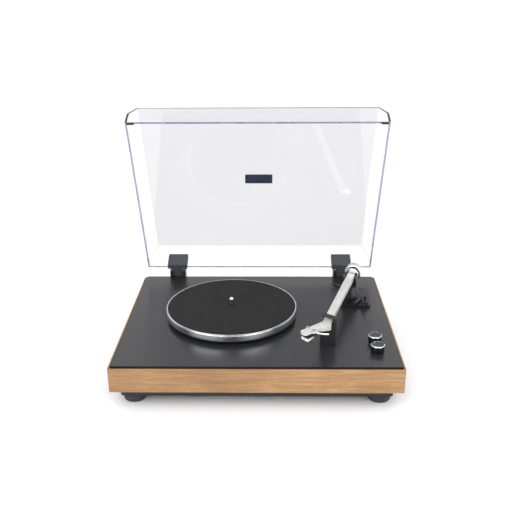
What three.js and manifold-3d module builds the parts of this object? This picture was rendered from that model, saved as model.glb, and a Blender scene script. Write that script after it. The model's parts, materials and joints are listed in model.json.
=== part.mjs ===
// Turntable record player: a wooden plinth with a belt-driven platter, a pivoted tonearm,
// two control knobs and a hinged dust cover that stands open.
// Millimetres, +Z up. The origin is on the floor, under the middle of the object's box.
// In the sub-parts below, "deck" heights count from the top of the top plate.
import * as THREE from "three";
import { ConvexGeometry } from "three/addons/geometries/ConvexGeometry.js";
import { mergeVertices } from "three/addons/utils/BufferGeometryUtils.js";
import Module from "manifold-3d";

const wasm = await Module();
wasm.setup();

// ---- Plinth ----
const plinthWidth = 420;
const plinthDepth = 333;
const plinthHeight = 37.5; // wooden sides, bottom edge to deck
const panelThickness = 12;
const frontCornerRadius = 2.5;
const rearCornerRadius = 8;
const plateThickness = 4;
const lipWidth = 2; // wood left standing beside the top plate
const frontGroove = 6.5; // shadow gap between the lip and the plate
const sideGroove = 0.8;
const mitreGap = 0.3;
const seatGap = 0.3; // between pieces that touch on the real object
const boreGap = 0.35; // round a shaft that turns

// ---- Bottom tray and feet ----
const trayDrop = 13.5; // how far the tray hangs below the wood
const trayClearance = 0.5;
const trayWall = 3;
const trayUpstand = 7.5; // how far its walls reach up inside the wood
const ventCount = 9;
const ventPitch = 9;
const ventWidth = 4;
const ventLength = 30;
const footRadius = 16.5;
const footHeight = 15;
const footFromSide = 30.5;
const footFromFront = 33.5;

// ---- Platter, bearing and drive ----
const platterFromLeft = 167.5;
const platterFromRear = 160.7;
const platterRadius = 104.5;
const platterTop = 18.2; // rim top above the deck
const platterRimHeight = 11.4;
const platterRimWall = 6;
const platterLip = 1.9;
const matRecess = 1.5;
const matThickness = 1.9;
const webThickness = 5.2;
const hubRadius = 20;
const driveRingWall = 4;
const driveRingFloor = 3.2;
const spindleRadius = 3.5;
const spindleRise = 13.5; // above the mat
const shaftRadius = 3;
const bearingLength = 26; // below the deck
const bearingRadius = 8;
const bearingRise = 2.5;
const pulleyRadius = 5.5;
const pulleyAngle = 125; // degrees round the platter from +X
const beltWidth = 4;
const beltThickness = 0.9;
const beltFloor = 4.3; // its lower edge above the deck
const beltToRim = 7.8; // room between the belt and the platter's rim
const ringToPulley = 24; // drive ring to the pulley's axis
const pulleyDistance = platterRadius - platterRimWall - beltToRim - pulleyRadius - beltThickness - seatGap;
const driveRingRadius = pulleyDistance - ringToPulley;
const motorRadius = 16;
const motorHeight = 24;
const motorShaftRadius = 1;
const motorShaftDepth = 13; // how far the shaft reaches into the motor
const bracketThickness = 1.5;

// ---- Controls ----
const knobRadius = 10;
const knobHeight = 12;
const knobFromRight = 33;
const knobFromFront = 54;
const knobSpacing = 29.5;
const knobRingWidth = 0.9;
const knobRingHeight = 2;
const knobShaftRadius = 3;
const controlHalf = 8.5; // half the width of the control under each knob
const controlHeight = 7;
const controlNeck = 3; // threaded neck between the control and the top plate

// ---- Tonearm ----
const pivotFromRight = 54.4;
const pivotFromRear = 93;
const pivotHeight = 38;
const restAngle = 17.2; // arm to the plinth's side, parked
const barThickness = 6;
const barRearWidth = 13;
const barFrontWidth = 11.4;
const barTail = 10; // behind the pivot
const elbowDistance = 183.9;
const offsetAngle = 32.5; // headshell to bar
const headLength = 47.8;
const headWidth = 13.6;
const headTipThickness = 3.6;
const elbowThickness = 8.6;
const elbowRamp = 5.5; // over which the bar deepens, clear of the arm rest
const screwSetback = 17.5; // cartridge screws behind the headshell's tip
const screwSpacing = 12.7;
const earMargin = 2.6; // headshell beyond each cartridge screw
const fingerLiftReach = 21.9; // beside the outer screw
const fingerLiftRadius = 1.1;
const cartridgeHeight = 6.2;
const holderHeight = 3.6;
const tipHeight = 23.4; // stylus tip above the deck
const weightRadius = 14;
const weightLength = 15;
const weightSetback = 26.6; // middle of the counterweight behind the pivot
const weightTravel = 4; // how far the counterweight slides forward
const weightWall = 1.7; // its closed rear
const dialRadius = 11.5;
const dialLength = 3.2;
const tailRodRadius = 4;

// ---- Tonearm base, cueing and rest ----
const baseWidth = 50;
const baseDepth = 72;
const baseThickness = 4;
const baseAhead = 40; // front edge ahead of the pivot
const baseRight = 30.9; // right edge beside the pivot
const columnFootRadius = 17;
const columnTopRadius = 10.5;
const columnHeight = 22;
const yokeCheekRadius = 8.5;
const yokeCheekThickness = 4.2;
const yokeGap = 0.7; // beside the bar
const liftRadius = 33; // cueing platform's arc round the pivot
const liftGap = 0.9; // below the bar
const liftMiddle = 33; // degrees from the plinth's side to the middle of the cueing arc
const liftSweep = 29; // degrees either side of that
const liftStemRadius = 2.4;
const liftStemAngle = 20; // its stem stands under the parked bar
const yokeStemRadius = 5;
const yokeStemLength = 18;
const cueHubRadius = 2.6;
const cueHubHalf = 2.5;
const cueLugThickness = 2;
const cuePinRadius = 1;
const cueHandleX = 20.9;
const cueHandleY = -36;
const cueAxisHeight = 8;
const cueHandleLength = 12;
const antiSkateRadius = 3.3;
const antiSkateLength = 24;
const antiSkateAngle = 60; // its axis from +X
const antiSkateX = 8.4; // beside and ahead of the pivot
const antiSkateY = -31;
const antiSkatePinRadius = 1.2;
const restDistance = 170.9; // arm rest ahead of the pivot
const restWidth = 22.5;
const restDepth = 10;
const restRight = 12.4; // its right side beside the middle of the bar
const restFlange = 0.6; // round its foot
const restGap = 3.8; // below the parked bar
const clipThickness = 1.6;
const clipClearance = 3.4; // above the parked bar at its right edge
const clipRise = 3.7; // how much the clip climbs across the bar
const clipPinRadius = 1.1;
const clipKnuckle = 2.4;

// ---- Dust cover and hinges ----
const coverSideInset = 7.5; // cover's edges inside the plinth's
const coverFrontInset = 7;
const coverRearInset = 16;
const coverWidth = plinthWidth - 2 * coverSideInset;
const coverLength = plinthDepth - coverFrontInset - coverRearInset;
const coverHeight = 58;
const coverWall = 3;
const coverStraight = 25; // upright part of the walls before they lean in
const coverLean = 10; // how far the walls lean in at the panel
const coverRimHeight = 3;
const coverOpenAngle = 67.6;
const badgeWidth = 47;
const badgeHeight = 19;
const badgeThickness = 0.8;
const hingeBehindPlinth = 1.6; // hinge axis behind the plinth
const hingeSetback = coverRearInset + hingeBehindPlinth;
const hingeRise = 1.7; // hinge axis above the cover's rim
const hingeFromSide = 61.2;
const hingeOffset = plinthWidth / 2 - hingeFromSide;
const hingeWidth = 28;
const leafWidth = 19;
const clampWidth = 35;
const clampLength = 28;
const clampInner = 4;
const clampOuter = 2.2;
const hingePinRadius = 1.5;
const barrelRadius = 4;
const hingeBlockTop = 14;
const hingeBlockAhead = 9.2;
const hingeLeg = 26;

// ---- Rear connections ----
const terminalFromHinge = 15.8; // terminal plate's side to the right hinge
const terminalWidth = 118;
const terminalHeight = 24;
const terminalThickness = 2;
const terminalPitch = 14;
const terminalDrop = 16; // its middle below the top plate
const terminalOverlap = 5; // plate past the opening behind it
const terminalFromCentre = hingeOffset - hingeWidth / 2 - terminalFromHinge - terminalWidth / 2;
const socketDepth = 8; // how far each socket reaches into the plinth
const jackRadius = 4.2;
const postRadius = 4.6;

// ---- Circuit board ----
const boardWidth = 120;
const boardDepth = 70;
const boardThickness = 1.6;
const boardX = 70;
const boardFromRear = 71.5; // its middle ahead of the plinth's rear
const boardLift = 6; // above the tray's floor
const boardInset = 6;
const boardPostRadius = 3;

// ---- Heights and places that follow ----
const deckZ = footHeight + trayDrop + plinthHeight;
const trayFloorTop = footHeight + trayWall;
const underPlate = -plateThickness - seatGap;
const frontY = -plinthDepth / 2;
const rearY = plinthDepth / 2;
const platterX = -plinthWidth / 2 + platterFromLeft;
const platterY = rearY - platterFromRear;
const pivotX = plinthWidth / 2 - pivotFromRight;
const pivotY = rearY - pivotFromRear;
const knobX = plinthWidth / 2 - knobFromRight;
const knobY = frontY + knobFromFront;
const pulleyX = pulleyDistance * Math.cos(THREE.MathUtils.degToRad(pulleyAngle));
const pulleyY = pulleyDistance * Math.sin(THREE.MathUtils.degToRad(pulleyAngle));
const barTop = pivotHeight + barThickness / 2;
const barBottom = pivotHeight - barThickness / 2;
const coverRearY = frontY + coverFrontInset + coverLength;
const hingeY = coverRearY + hingeSetback;
const hingeZ = coverRimHeight + hingeRise;
const terminalZ = deckZ + underPlate - terminalDrop;
const boardY = rearY - boardFromRear;
const liftStemX = -liftRadius * Math.sin(THREE.MathUtils.degToRad(liftStemAngle));
const liftStemY = -liftRadius * Math.cos(THREE.MathUtils.degToRad(liftStemAngle));
const antiSkateAxis = baseThickness + antiSkateRadius + 2 * seatGap;

// ---- Finishes ----
const finish = (color, roughness, metalness = 0, opacity = 1) =>
  new THREE.MeshStandardMaterial({ color, roughness, metalness, opacity, transparent: opacity < 1 });
const wood = () => finish(0xc0986e, 0.55);
const satinBlack = () => finish(0x3c3c3e, 0.45);
const mouldedBlack = () => finish(0x232427, 0.5);
const rubber = () => finish(0x2b2c30, 0.85);
const felt = () => finish(0x323232, 0.95);
const aluminium = () => finish(0xd2d4d6, 0.3, 1);
const chrome = () => finish(0xe4e6e8, 0.12, 1);
const steel = () => finish(0xa9abae, 0.35, 1);
const brass = () => finish(0xb8964e, 0.35, 1);
const silverLacquer = () => finish(0xe6e6e0, 0.4);
const whitePlastic = () => finish(0xf2f2f0, 0.45);
const clearAcrylic = () => finish(0xe6e6f2, 0.08, 0, 0.25);
const boardGreen = () => finish(0x2c5a3c, 0.6);
const redPlastic = () => finish(0xa02a28, 0.45);
const navyPlate = () => finish(0x1c2030, 0.35);

// ---- Solids: three.js makes the shapes, manifold-3d only joins and cuts them ----
function solidOf(geometry) {
  const bare = geometry.index ? geometry.toNonIndexed() : geometry.clone();
  bare.deleteAttribute("normal");
  bare.deleteAttribute("uv");
  const merged = mergeVertices(bare, 1e-4);
  const index = merged.index.array;
  const kept = [];
  for (let i = 0; i < index.length; i += 3) {
    const [a, b, c] = [index[i], index[i + 1], index[i + 2]];
    if (a !== b && b !== c && c !== a) kept.push(a, b, c);
  }
  const vertProperties = merged.attributes.position.array;
  return new wasm.Manifold(new wasm.Mesh({ numProp: 3, vertProperties, triVerts: new Uint32Array(kept) }));
}

function geometryOf(solid) {
  const mesh = solid.getMesh();
  const points = new Float32Array(mesh.numVert * 3);
  for (let i = 0; i < mesh.numVert; i++)
    points.set(mesh.vertProperties.subarray(i * mesh.numProp, i * mesh.numProp + 3), i * 3);
  const geometry = new THREE.BufferGeometry();
  geometry.setAttribute("position", new THREE.BufferAttribute(points, 3));
  geometry.setIndex(new THREE.BufferAttribute(new Uint32Array(mesh.triVerts), 1));
  geometry.computeVertexNormals();
  return geometry;
}

const join = (first, ...others) =>
  geometryOf(others.reduce((sum, other) => sum.add(solidOf(other)), solidOf(first)));
const cut = (first, ...tools) =>
  geometryOf(tools.reduce((rest, tool) => rest.subtract(solidOf(tool)), solidOf(first)));
const common = (first, second) => geometryOf(solidOf(first).intersect(solidOf(second)));

// A block between two opposite corners.
function block(low, high) {
  const size = high.map((value, i) => value - low[i]);
  const middle = high.map((value, i) => (value + low[i]) / 2);
  return new THREE.BoxGeometry(...size).translate(...middle);
}

// A turned piece: its profile is a list of [radius, height], round the Z axis.
function turned(profile, segments = 24) {
  let area = 0;
  profile.forEach(([r, z], i) => {
    const [nextR, nextZ] = profile[(i + 1) % profile.length];
    area += r * nextZ - nextR * z;
  });
  const points = profile.map(([r, z]) => new THREE.Vector2(r, z));
  if (area < 0) points.reverse();
  const open = profile[0][0] === 0 && profile.at(-1)[0] === 0;
  if (!open) points.push(points[0].clone());
  return new THREE.LatheGeometry(points, segments).rotateX(Math.PI / 2);
}

const rod = (radius, low, high, segments = 16) =>
  turned([[0, low], [radius, low], [radius, high], [0, high]], segments);

// An upright prism over an outline of [x, y] points.
function prism(outline, low, high) {
  const shape = new THREE.Shape(outline.map(([x, y]) => new THREE.Vector2(x, y)));
  const options = { depth: high - low, bevelEnabled: false };
  return new THREE.ExtrudeGeometry(shape, options).translate(0, 0, low);
}

// A prism whose outline is in [y, z] and which runs along X.
const sidePrism = (outline, low, high) =>
  prism(outline, low, high).rotateX(Math.PI / 2).rotateZ(Math.PI / 2);

// A rounded rectangle between two corners; radii run round from its front left corner.
function roundedOutline([x0, y0], [x1, y1], radii, steps = 5) {
  const corners = [[x0, y0, 180], [x1, y0, 270], [x1, y1, 0], [x0, y1, 90]];
  return corners.flatMap(([x, y, start], i) => {
    const r = radii[i];
    const centreX = x === x0 ? x + r : x - r;
    const centreY = y === y0 ? y + r : y - r;
    return Array.from({ length: steps + 1 }, (_, step) => {
      const angle = THREE.MathUtils.degToRad(start + (90 * step) / steps);
      return [centreX + r * Math.cos(angle), centreY + r * Math.sin(angle)];
    });
  });
}

function part(name, geometry, material, parent) {
  const mesh = new THREE.Mesh(geometry, material);
  mesh.name = name;
  parent.add(mesh);
  return mesh;
}

function groupAt(x, y, z, parent) {
  const group = new THREE.Group();
  group.position.set(x, y, z);
  parent.add(group);
  return group;
}

// ---- Plinth: four mitred panels, rebated for the top plate ----
function makePlinth(parent) {
  const halfWidth = plinthWidth / 2;
  const bottom = -plinthHeight;
  const radii = [frontCornerRadius, frontCornerRadius, rearCornerRadius, rearCornerRadius];
  const outside = prism(roundedOutline([-halfWidth, frontY], [halfWidth, rearY], radii), bottom, 0);
  const room = block(
    [-halfWidth + panelThickness, frontY + panelThickness, bottom - 1],
    [halfWidth - panelThickness, rearY - panelThickness, 1],
  );
  const rebate = block(
    [-halfWidth + lipWidth, frontY + lipWidth, underPlate],
    [halfWidth - lipWidth, rearY + 1, 1],
  );
  const frame = cut(outside, room, rebate);
  // Each wedge is cut back along its 45 degree ends, so that a mitre gap stands between panels.
  const outerX = halfWidth + 1;
  const outerY = rearY + 1;
  const reach = 2 * panelThickness;
  const half = mitreGap / 2;
  const ends = (sign) => [
    [-outerX + mitreGap, sign * outerY],
    [outerX - mitreGap, sign * outerY],
    [outerX - reach - half, sign * (outerY - reach + half)],
    [-outerX + reach + half, sign * (outerY - reach + half)],
  ];
  const sides = (sign) => [
    [sign * outerX, -outerY + mitreGap],
    [sign * outerX, outerY - mitreGap],
    [sign * (outerX - reach + half), outerY - reach - half],
    [sign * (outerX - reach + half), -outerY + reach + half],
  ];
  const wedge = (outline) => prism(outline, bottom - 1, 1);
  const openingHalf = terminalWidth / 2 - terminalOverlap;
  const openingRise = terminalHeight / 2 - 4;
  const opening = block(
    [terminalFromCentre - openingHalf, rearY - panelThickness - 1, terminalZ - deckZ - openingRise],
    [terminalFromCentre + openingHalf, rearY + 1, terminalZ - deckZ + openingRise],
  );
  part("front_panel", common(frame, wedge(ends(-1))), wood(), parent);
  part("rear_panel", cut(common(frame, wedge(ends(1))), opening), wood(), parent);
  part("left_panel", common(frame, wedge(sides(-1))), wood(), parent);
  part("right_panel", common(frame, wedge(sides(1))), wood(), parent);
}

// ---- Top plate, with a hole for each shaft ----
function makeTopPlate(parent) {
  const halfWidth = plinthWidth / 2 - lipWidth - sideGroove;
  const front = frontY + lipWidth + frontGroove;
  const plateRear = rearY - seatGap;
  const rearRadius = rearCornerRadius - lipWidth;
  const outline = roundedOutline([-halfWidth, front], [halfWidth, plateRear], [1, 1, rearRadius, rearRadius]);
  const holes = [
    [platterX, platterY, bearingRadius + seatGap],
    [platterX + pulleyX, platterY + pulleyY, pulleyRadius + 3],
    [pivotX, pivotY, columnTopRadius - 2 + seatGap],
    [knobX, knobY, knobShaftRadius + boreGap],
    [knobX, knobY + knobSpacing, knobShaftRadius + boreGap],
  ];
  const drills = holes.map(([x, y, r]) => rod(r, -plateThickness - 1, 1).translate(x, y, 0));
  part("top_plate", cut(prism(outline, -plateThickness, 0), ...drills), satinBlack(), parent);
}

// ---- Bottom tray with vents and board posts, and the four feet ----
function makeTray(parent) {
  const inset = panelThickness + trayClearance;
  const corner = [plinthWidth / 2 - inset, plinthDepth / 2 - inset];
  const inner = corner.map((value) => value - trayWall);
  const negative = ([x, y]) => [-x, -y];
  const wallTop = footHeight + trayDrop + trayUpstand;
  const shell = prism(roundedOutline(negative(corner), corner, [6, 6, 6, 6], 3), footHeight, wallTop);
  const hollow = prism(roundedOutline(negative(inner), inner, [3, 3, 3, 3], 2), trayFloorTop, wallTop + 1);
  const vents = Array.from({ length: ventCount }, (_, i) => {
    const x = boardX + (i - (ventCount - 1) / 2) * ventPitch;
    const front = boardY - boardDepth / 2 - ventLength - 10;
    return block(
      [x - ventWidth / 2, front, footHeight - 1],
      [x + ventWidth / 2, front + ventLength, trayFloorTop + 1],
    );
  });
  const posts = [-1, 1].flatMap((sx) =>
    [-1, 1].map((sy) => {
      const x = boardX + sx * (boardWidth / 2 - boardInset);
      const y = boardY + sy * (boardDepth / 2 - boardInset);
      return rod(boardPostRadius, trayFloorTop - 1, trayFloorTop + boardLift, 12).translate(x, y, 0);
    }),
  );
  part("bottom_tray", join(cut(shell, hollow, ...vents), ...posts), mouldedBlack(), parent);
  const footProfile = [
    [0, 0],
    [footRadius - 2, 0],
    [footRadius, 2.2],
    [footRadius, footHeight - 3],
    [footRadius - 3, footHeight - seatGap],
    [0, footHeight - seatGap],
  ];
  for (const [row, sy] of [["front", -1], ["rear", 1]])
    for (const [side, sx] of [["left", -1], ["right", 1]]) {
      const foot = part(`foot_${row}_${side}`, turned(footProfile, 20), rubber(), parent);
      const x = sx * (plinthWidth / 2 - footFromSide);
      foot.position.set(x, sy * (plinthDepth / 2 - footFromFront), 0);
    }
}

// ---- Circuit board on the tray's posts ----
function makeBoard(parent) {
  const low = trayFloorTop + boardLift + seatGap;
  const top = low + boardThickness;
  const x0 = boardX - boardWidth / 2;
  const y0 = boardY - boardDepth / 2;
  const sheet = block([x0, y0, low], [x0 + boardWidth, y0 + boardDepth, top]);
  const components = [
    block([x0 + 8, y0 + 10, top - 0.5], [x0 + 40, y0 + 22, top + 12]),
    block([x0 + 48, y0 + 30, top - 0.5], [x0 + 62, y0 + 44, top + 2]),
    block([x0 + 80, y0 + 44, top - 0.5], [x0 + 100, y0 + 60, top + 8]),
    rod(5, top - 0.5, top + 11, 16).translate(x0 + 70, y0 + 15, 0),
    rod(5, top - 0.5, top + 11, 16).translate(x0 + 86, y0 + 15, 0),
  ];
  part("amplifier_board", join(sheet, ...components), boardGreen(), parent);
}

// ---- Rear connections: one plate, seven sockets ----
function makeTerminals(parent) {
  const group = groupAt(terminalFromCentre, rearY, terminalZ, parent);
  const face = seatGap + terminalThickness;
  const along = (geometry) => geometry.rotateX(-Math.PI / 2);
  const place = (i) => (i - 3) * terminalPitch;
  const halfWidth = terminalWidth / 2;
  const halfHeight = terminalHeight / 2;
  const plate = block([-halfWidth, seatGap, -halfHeight], [halfWidth, face, halfHeight]);
  const drills = [0, 1, 2, 3, 4, 5, 6].map((i) =>
    along(rod(i < 3 ? jackRadius + seatGap : 3 + seatGap, -1, 4, 14)).translate(place(i), 0, 0),
  );
  part("terminal_plate", cut(plate, ...drills), mouldedBlack(), group);
  const inletProfile = [
    [0, -5], [jackRadius, -5], [jackRadius, face + 0.6], [3, face + 0.6], [3, -3], [0, -3],
  ];
  const inlet = join(along(turned(inletProfile, 14)), along(rod(0.9, -4, face - 0.5, 10)));
  part("dc_inlet", inlet, mouldedBlack(), group).position.x = place(0);
  const jackProfile = [
    [0, -socketDepth], [jackRadius, -socketDepth], [jackRadius, face + 8], [1.7, face + 8],
    [1.7, face - 1], [0, face - 1],
  ];
  ["left", "right"].forEach((side, i) => {
    const jack = part(`line_out_jack_${side}`, along(turned(jackProfile, 14)), chrome(), group);
    jack.position.x = place(1 + i);
  });
  const postProfile = [
    [0, -socketDepth], [3, -socketDepth], [3, face + seatGap], [postRadius, face + seatGap],
    [postRadius, face + 10], [postRadius - 1, face + 11], [0, face + 11],
  ];
  for (let i = 0; i < 4; i++) {
    const colour = i % 2 ? redPlastic() : mouldedBlack();
    const post = part(`speaker_terminal_${i + 1}`, along(turned(postProfile, 12)), colour, group);
    post.position.x = place(3 + i);
  }
}

// ---- Bearing, platter, mat and spindle ----
function makePlatter(parent) {
  const group = groupAt(platterX, platterY, deckZ, parent);
  const bore = shaftRadius + boreGap;
  const housing = [
    [0, -bearingLength],
    [bearingRadius, -bearingLength],
    [bearingRadius, underPlate - 3],
    [bearingRadius + 11, underPlate - 3],
    [bearingRadius + 11, underPlate],
    [bearingRadius, underPlate],
    [bearingRadius, bearingRise],
    [bore, bearingRise],
    [bore, -bearingLength + 3],
    [0, -bearingLength + 3],
  ];
  part("bearing_housing", turned(housing), brass(), group);
  const recess = platterTop - matRecess;
  const webBottom = recess - webThickness;
  const rimBottom = platterTop - platterRimHeight;
  const rimInner = platterRadius - platterRimWall;
  const ringInner = driveRingRadius - driveRingWall;
  const collarTop = bearingRise + 1.6;
  const hubBottom = collarTop + seatGap;
  const matFloor = recess + seatGap;
  const matTop = matFloor + matThickness;
  const platterProfile = [
    [spindleRadius + seatGap, hubBottom],
    [hubRadius, hubBottom],
    [hubRadius, webBottom],
    [ringInner, webBottom],
    [ringInner, driveRingFloor],
    [driveRingRadius, driveRingFloor],
    [driveRingRadius, webBottom],
    [rimInner, webBottom],
    [rimInner, rimBottom],
    [platterRadius - 1, rimBottom],
    [platterRadius, rimBottom + 1],
    [platterRadius, platterTop - 0.6],
    [platterRadius - 0.6, platterTop],
    [platterRadius - platterLip, platterTop],
    [platterRadius - platterLip, recess],
    [spindleRadius + seatGap, recess],
  ];
  part("platter", turned(platterProfile, 56), aluminium(), group);
  const matRadius = platterRadius - platterLip - seatGap;
  const matHole = spindleRadius + 2 * seatGap;
  const matProfile = [[matHole, matFloor], [matRadius, matFloor], [matRadius, matTop], [matHole, matTop]];
  part("platter_mat", turned(matProfile, 56), felt(), group);
  const tip = matTop + spindleRise;
  const spindleProfile = [
    [0, -bearingLength + 3 + seatGap],
    [shaftRadius, -bearingLength + 3 + seatGap],
    [shaftRadius, bearingRise + seatGap],
    [hubRadius / 2, bearingRise + seatGap],
    [hubRadius / 2, collarTop],
    [spindleRadius, collarTop],
    [spindleRadius, tip - 4],
    [spindleRadius * 0.75, tip - 1.4],
    [spindleRadius * 0.3, tip],
    [0, tip],
  ];
  part("spindle", turned(spindleProfile, 20), chrome(), group);
}

// ---- Motor, pulley and belt ----
function makeDrive(parent) {
  const motorGroup = groupAt(platterX + pulleyX, platterY + pulleyY, deckZ, parent);
  const bracketTop = underPlate;
  const bracketBottom = bracketTop - bracketThickness;
  const motorTop = bracketBottom - seatGap;
  const shaftBottom = motorTop - motorShaftDepth;
  const bracketHalf = motorRadius + 6;
  const bracketOutline = roundedOutline(
    [-bracketHalf, -bracketHalf], [bracketHalf, bracketHalf], [8, 8, 8, 8], 3,
  );
  const bracket = cut(prism(bracketOutline, bracketBottom, bracketTop), rod(4.5, bracketBottom - 1, 0));
  part("motor_bracket", bracket, steel(), motorGroup);
  const motorProfile = [
    [0, motorTop - motorHeight],
    [motorRadius - 1, motorTop - motorHeight],
    [motorRadius, motorTop - motorHeight + 1],
    [motorRadius, motorTop],
    [4, motorTop],
    [4, motorTop + 1.5],
    [motorShaftRadius + boreGap, motorTop + 1.5],
    [motorShaftRadius + boreGap, shaftBottom - 1],
    [0, shaftBottom - 1],
  ];
  part("motor", turned(motorProfile), steel(), motorGroup);
  const beltTop = beltFloor + beltWidth;
  const flange = pulleyRadius + 0.8;
  const pulleyProfile = [
    [0, shaftBottom],
    [motorShaftRadius, shaftBottom],
    [motorShaftRadius, beltFloor - 2.1],
    [flange, beltFloor - 2.1],
    [flange, beltFloor - 0.9],
    [pulleyRadius - 0.3, beltFloor - 0.5],
    [pulleyRadius, beltFloor + beltWidth / 2],
    [pulleyRadius - 0.3, beltTop + 0.5],
    [flange, beltTop + 0.9],
    [flange, beltTop + 1.8],
    [0, beltTop + 1.8],
  ];
  part("motor_pulley", turned(pulleyProfile, 16), brass(), motorGroup);
  const loop = (offset) => {
    const big = driveRingRadius + offset;
    const small = pulleyRadius + offset;
    const contact = Math.acos((big - small) / pulleyDistance);
    const arc = (centre, radius, from, to, steps) =>
      Array.from({ length: steps + 1 }, (_, i) => {
        const angle = from + ((to - from) * i) / steps;
        return [centre + radius * Math.cos(angle), radius * Math.sin(angle)];
      });
    const aroundRing = arc(0, big, contact, 2 * Math.PI - contact, 28);
    const aroundPulley = arc(pulleyDistance, small, -contact, contact, 6);
    return [...aroundRing, ...aroundPulley];
  };
  const belt = cut(
    prism(loop(seatGap + beltThickness), beltFloor, beltTop),
    prism(loop(seatGap), beltFloor - 1, beltTop + 1),
  );
  const beltGroup = groupAt(platterX, platterY, deckZ, parent);
  beltGroup.rotation.z = THREE.MathUtils.degToRad(pulleyAngle);
  part("drive_belt", belt, rubber(), beltGroup);
}

// ---- Control knobs, each on the shaft of its own control ----
function makeKnobs(parent) {
  const shoulder = knobHeight - knobRingHeight - seatGap;
  const crown = knobRadius - knobRingWidth - 2 * seatGap;
  const bodyTop = underPlate - controlNeck;
  const knobProfile = [
    [0, bodyTop - 5],
    [knobShaftRadius, bodyTop - 5],
    [knobShaftRadius, 0.8],
    [knobRadius, 0.8],
    [knobRadius, shoulder],
    [crown, shoulder],
    [crown, knobHeight + 0.2],
    [0, knobHeight + 0.2],
  ];
  const ringOuter = knobRadius + 0.2;
  const ringInner = crown + seatGap;
  const ringProfile = [
    [ringInner, shoulder + seatGap],
    [ringOuter, shoulder + seatGap],
    [ringOuter, knobHeight - 0.4],
    [ringOuter - 0.4, knobHeight],
    [ringInner, knobHeight],
  ];
  const bore = rod(knobShaftRadius + boreGap, bodyTop - 5.5, 0);
  const control = cut(
    join(
      block([-controlHalf, -controlHalf, bodyTop - controlHeight], [controlHalf, controlHalf, bodyTop]),
      rod(5, bodyTop - 1, underPlate),
    ),
    bore,
  );
  const kinds = [["volume", "volume_potentiometer", 0], ["speed", "speed_switch", knobSpacing]];
  for (const [name, controlName, ahead] of kinds) {
    const group = groupAt(knobX, knobY + ahead, deckZ, parent);
    part(`${name}_knob`, turned(knobProfile), mouldedBlack(), group);
    part(`${name}_knob_ring`, turned(ringProfile), chrome(), group);
    part(controlName, control.clone(), steel(), group);
  }
}

// ---- Tonearm base: plate, conical column, lift cylinder and lugs ----
function makeTonearmBase(parent) {
  const low = seatGap;
  const top = low + baseThickness;
  const columnTop = columnHeight;
  const columnTail = yokeStemLength + 2;
  const outline = roundedOutline(
    [baseRight - baseWidth, -baseAhead], [baseRight, baseDepth - baseAhead], [6, 6, 10, 10], 4,
  );
  const columnProfile = [
    [0, -columnTail], [columnTopRadius - 2, -columnTail], [columnTopRadius - 2, low + 1],
    [columnFootRadius, low + 1],
    [columnFootRadius, top + 1.5], [columnTopRadius, columnTop], [0, columnTop],
  ];
  const liftTube = rod(liftStemRadius + 2, top - 1, columnTop + 1).translate(liftStemX, liftStemY, 0);
  const liftBore = rod(liftStemRadius + boreGap, low + 1.5, columnTop + 2)
    .translate(liftStemX, liftStemY, 0);
  const lugs = [-1, 1].map((side) => {
    const inner = cueHubHalf + seatGap;
    const x = cueHandleX + side * (inner + cueLugThickness / 2);
    return join(
      block(
        [x - cueLugThickness / 2, cueHandleY - 2.6, top - 1],
        [x + cueLugThickness / 2, cueHandleY + 2.6, cueAxisHeight],
      ),
      rod(2.6, -cueLugThickness / 2, cueLugThickness / 2, 16)
        .rotateY(Math.PI / 2)
        .translate(x, cueHandleY, cueAxisHeight),
    );
  });
  const lugBores = rod(cuePinRadius + boreGap, -8, 8, 16).rotateY(Math.PI / 2)
    .translate(cueHandleX, cueHandleY, cueAxisHeight);
  const turn = THREE.MathUtils.degToRad(antiSkateAngle);
  const along = (geometry) =>
    geometry.rotateY(Math.PI / 2).rotateZ(turn).translate(antiSkateX, antiSkateY, antiSkateAxis);
  const lugAt = antiSkateLength / 2 + seatGap;
  const skateLug = block([-3, -3, lugAt], [antiSkateAxis - top + 1, 3, lugAt + 2.5]);
  const base = cut(
    join(
      prism(outline, low, top),
      turned(columnProfile),
      liftTube,
      ...lugs,
      along(skateLug),
    ),
    rod(yokeStemRadius + boreGap, -columnTail - 1, columnTop + 1),
    liftBore,
    lugBores,
    along(rod(antiSkatePinRadius + boreGap, antiSkateLength / 2 - 1, lugAt + 4, 16)),
  );
  part("tonearm_base", base, mouldedBlack(), parent);
  const skateProfile = [
    [0, -antiSkateLength / 2], [antiSkateRadius - 0.6, -antiSkateLength / 2],
    [antiSkateRadius, -antiSkateLength / 2 + 0.6], [antiSkateRadius, antiSkateLength / 2],
    [antiSkatePinRadius, antiSkateLength / 2], [antiSkatePinRadius, lugAt + 2.8], [0, lugAt + 2.8],
  ];
  part("anti_skate_dial", along(turned(skateProfile, 16)), mouldedBlack(), parent);
}

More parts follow.
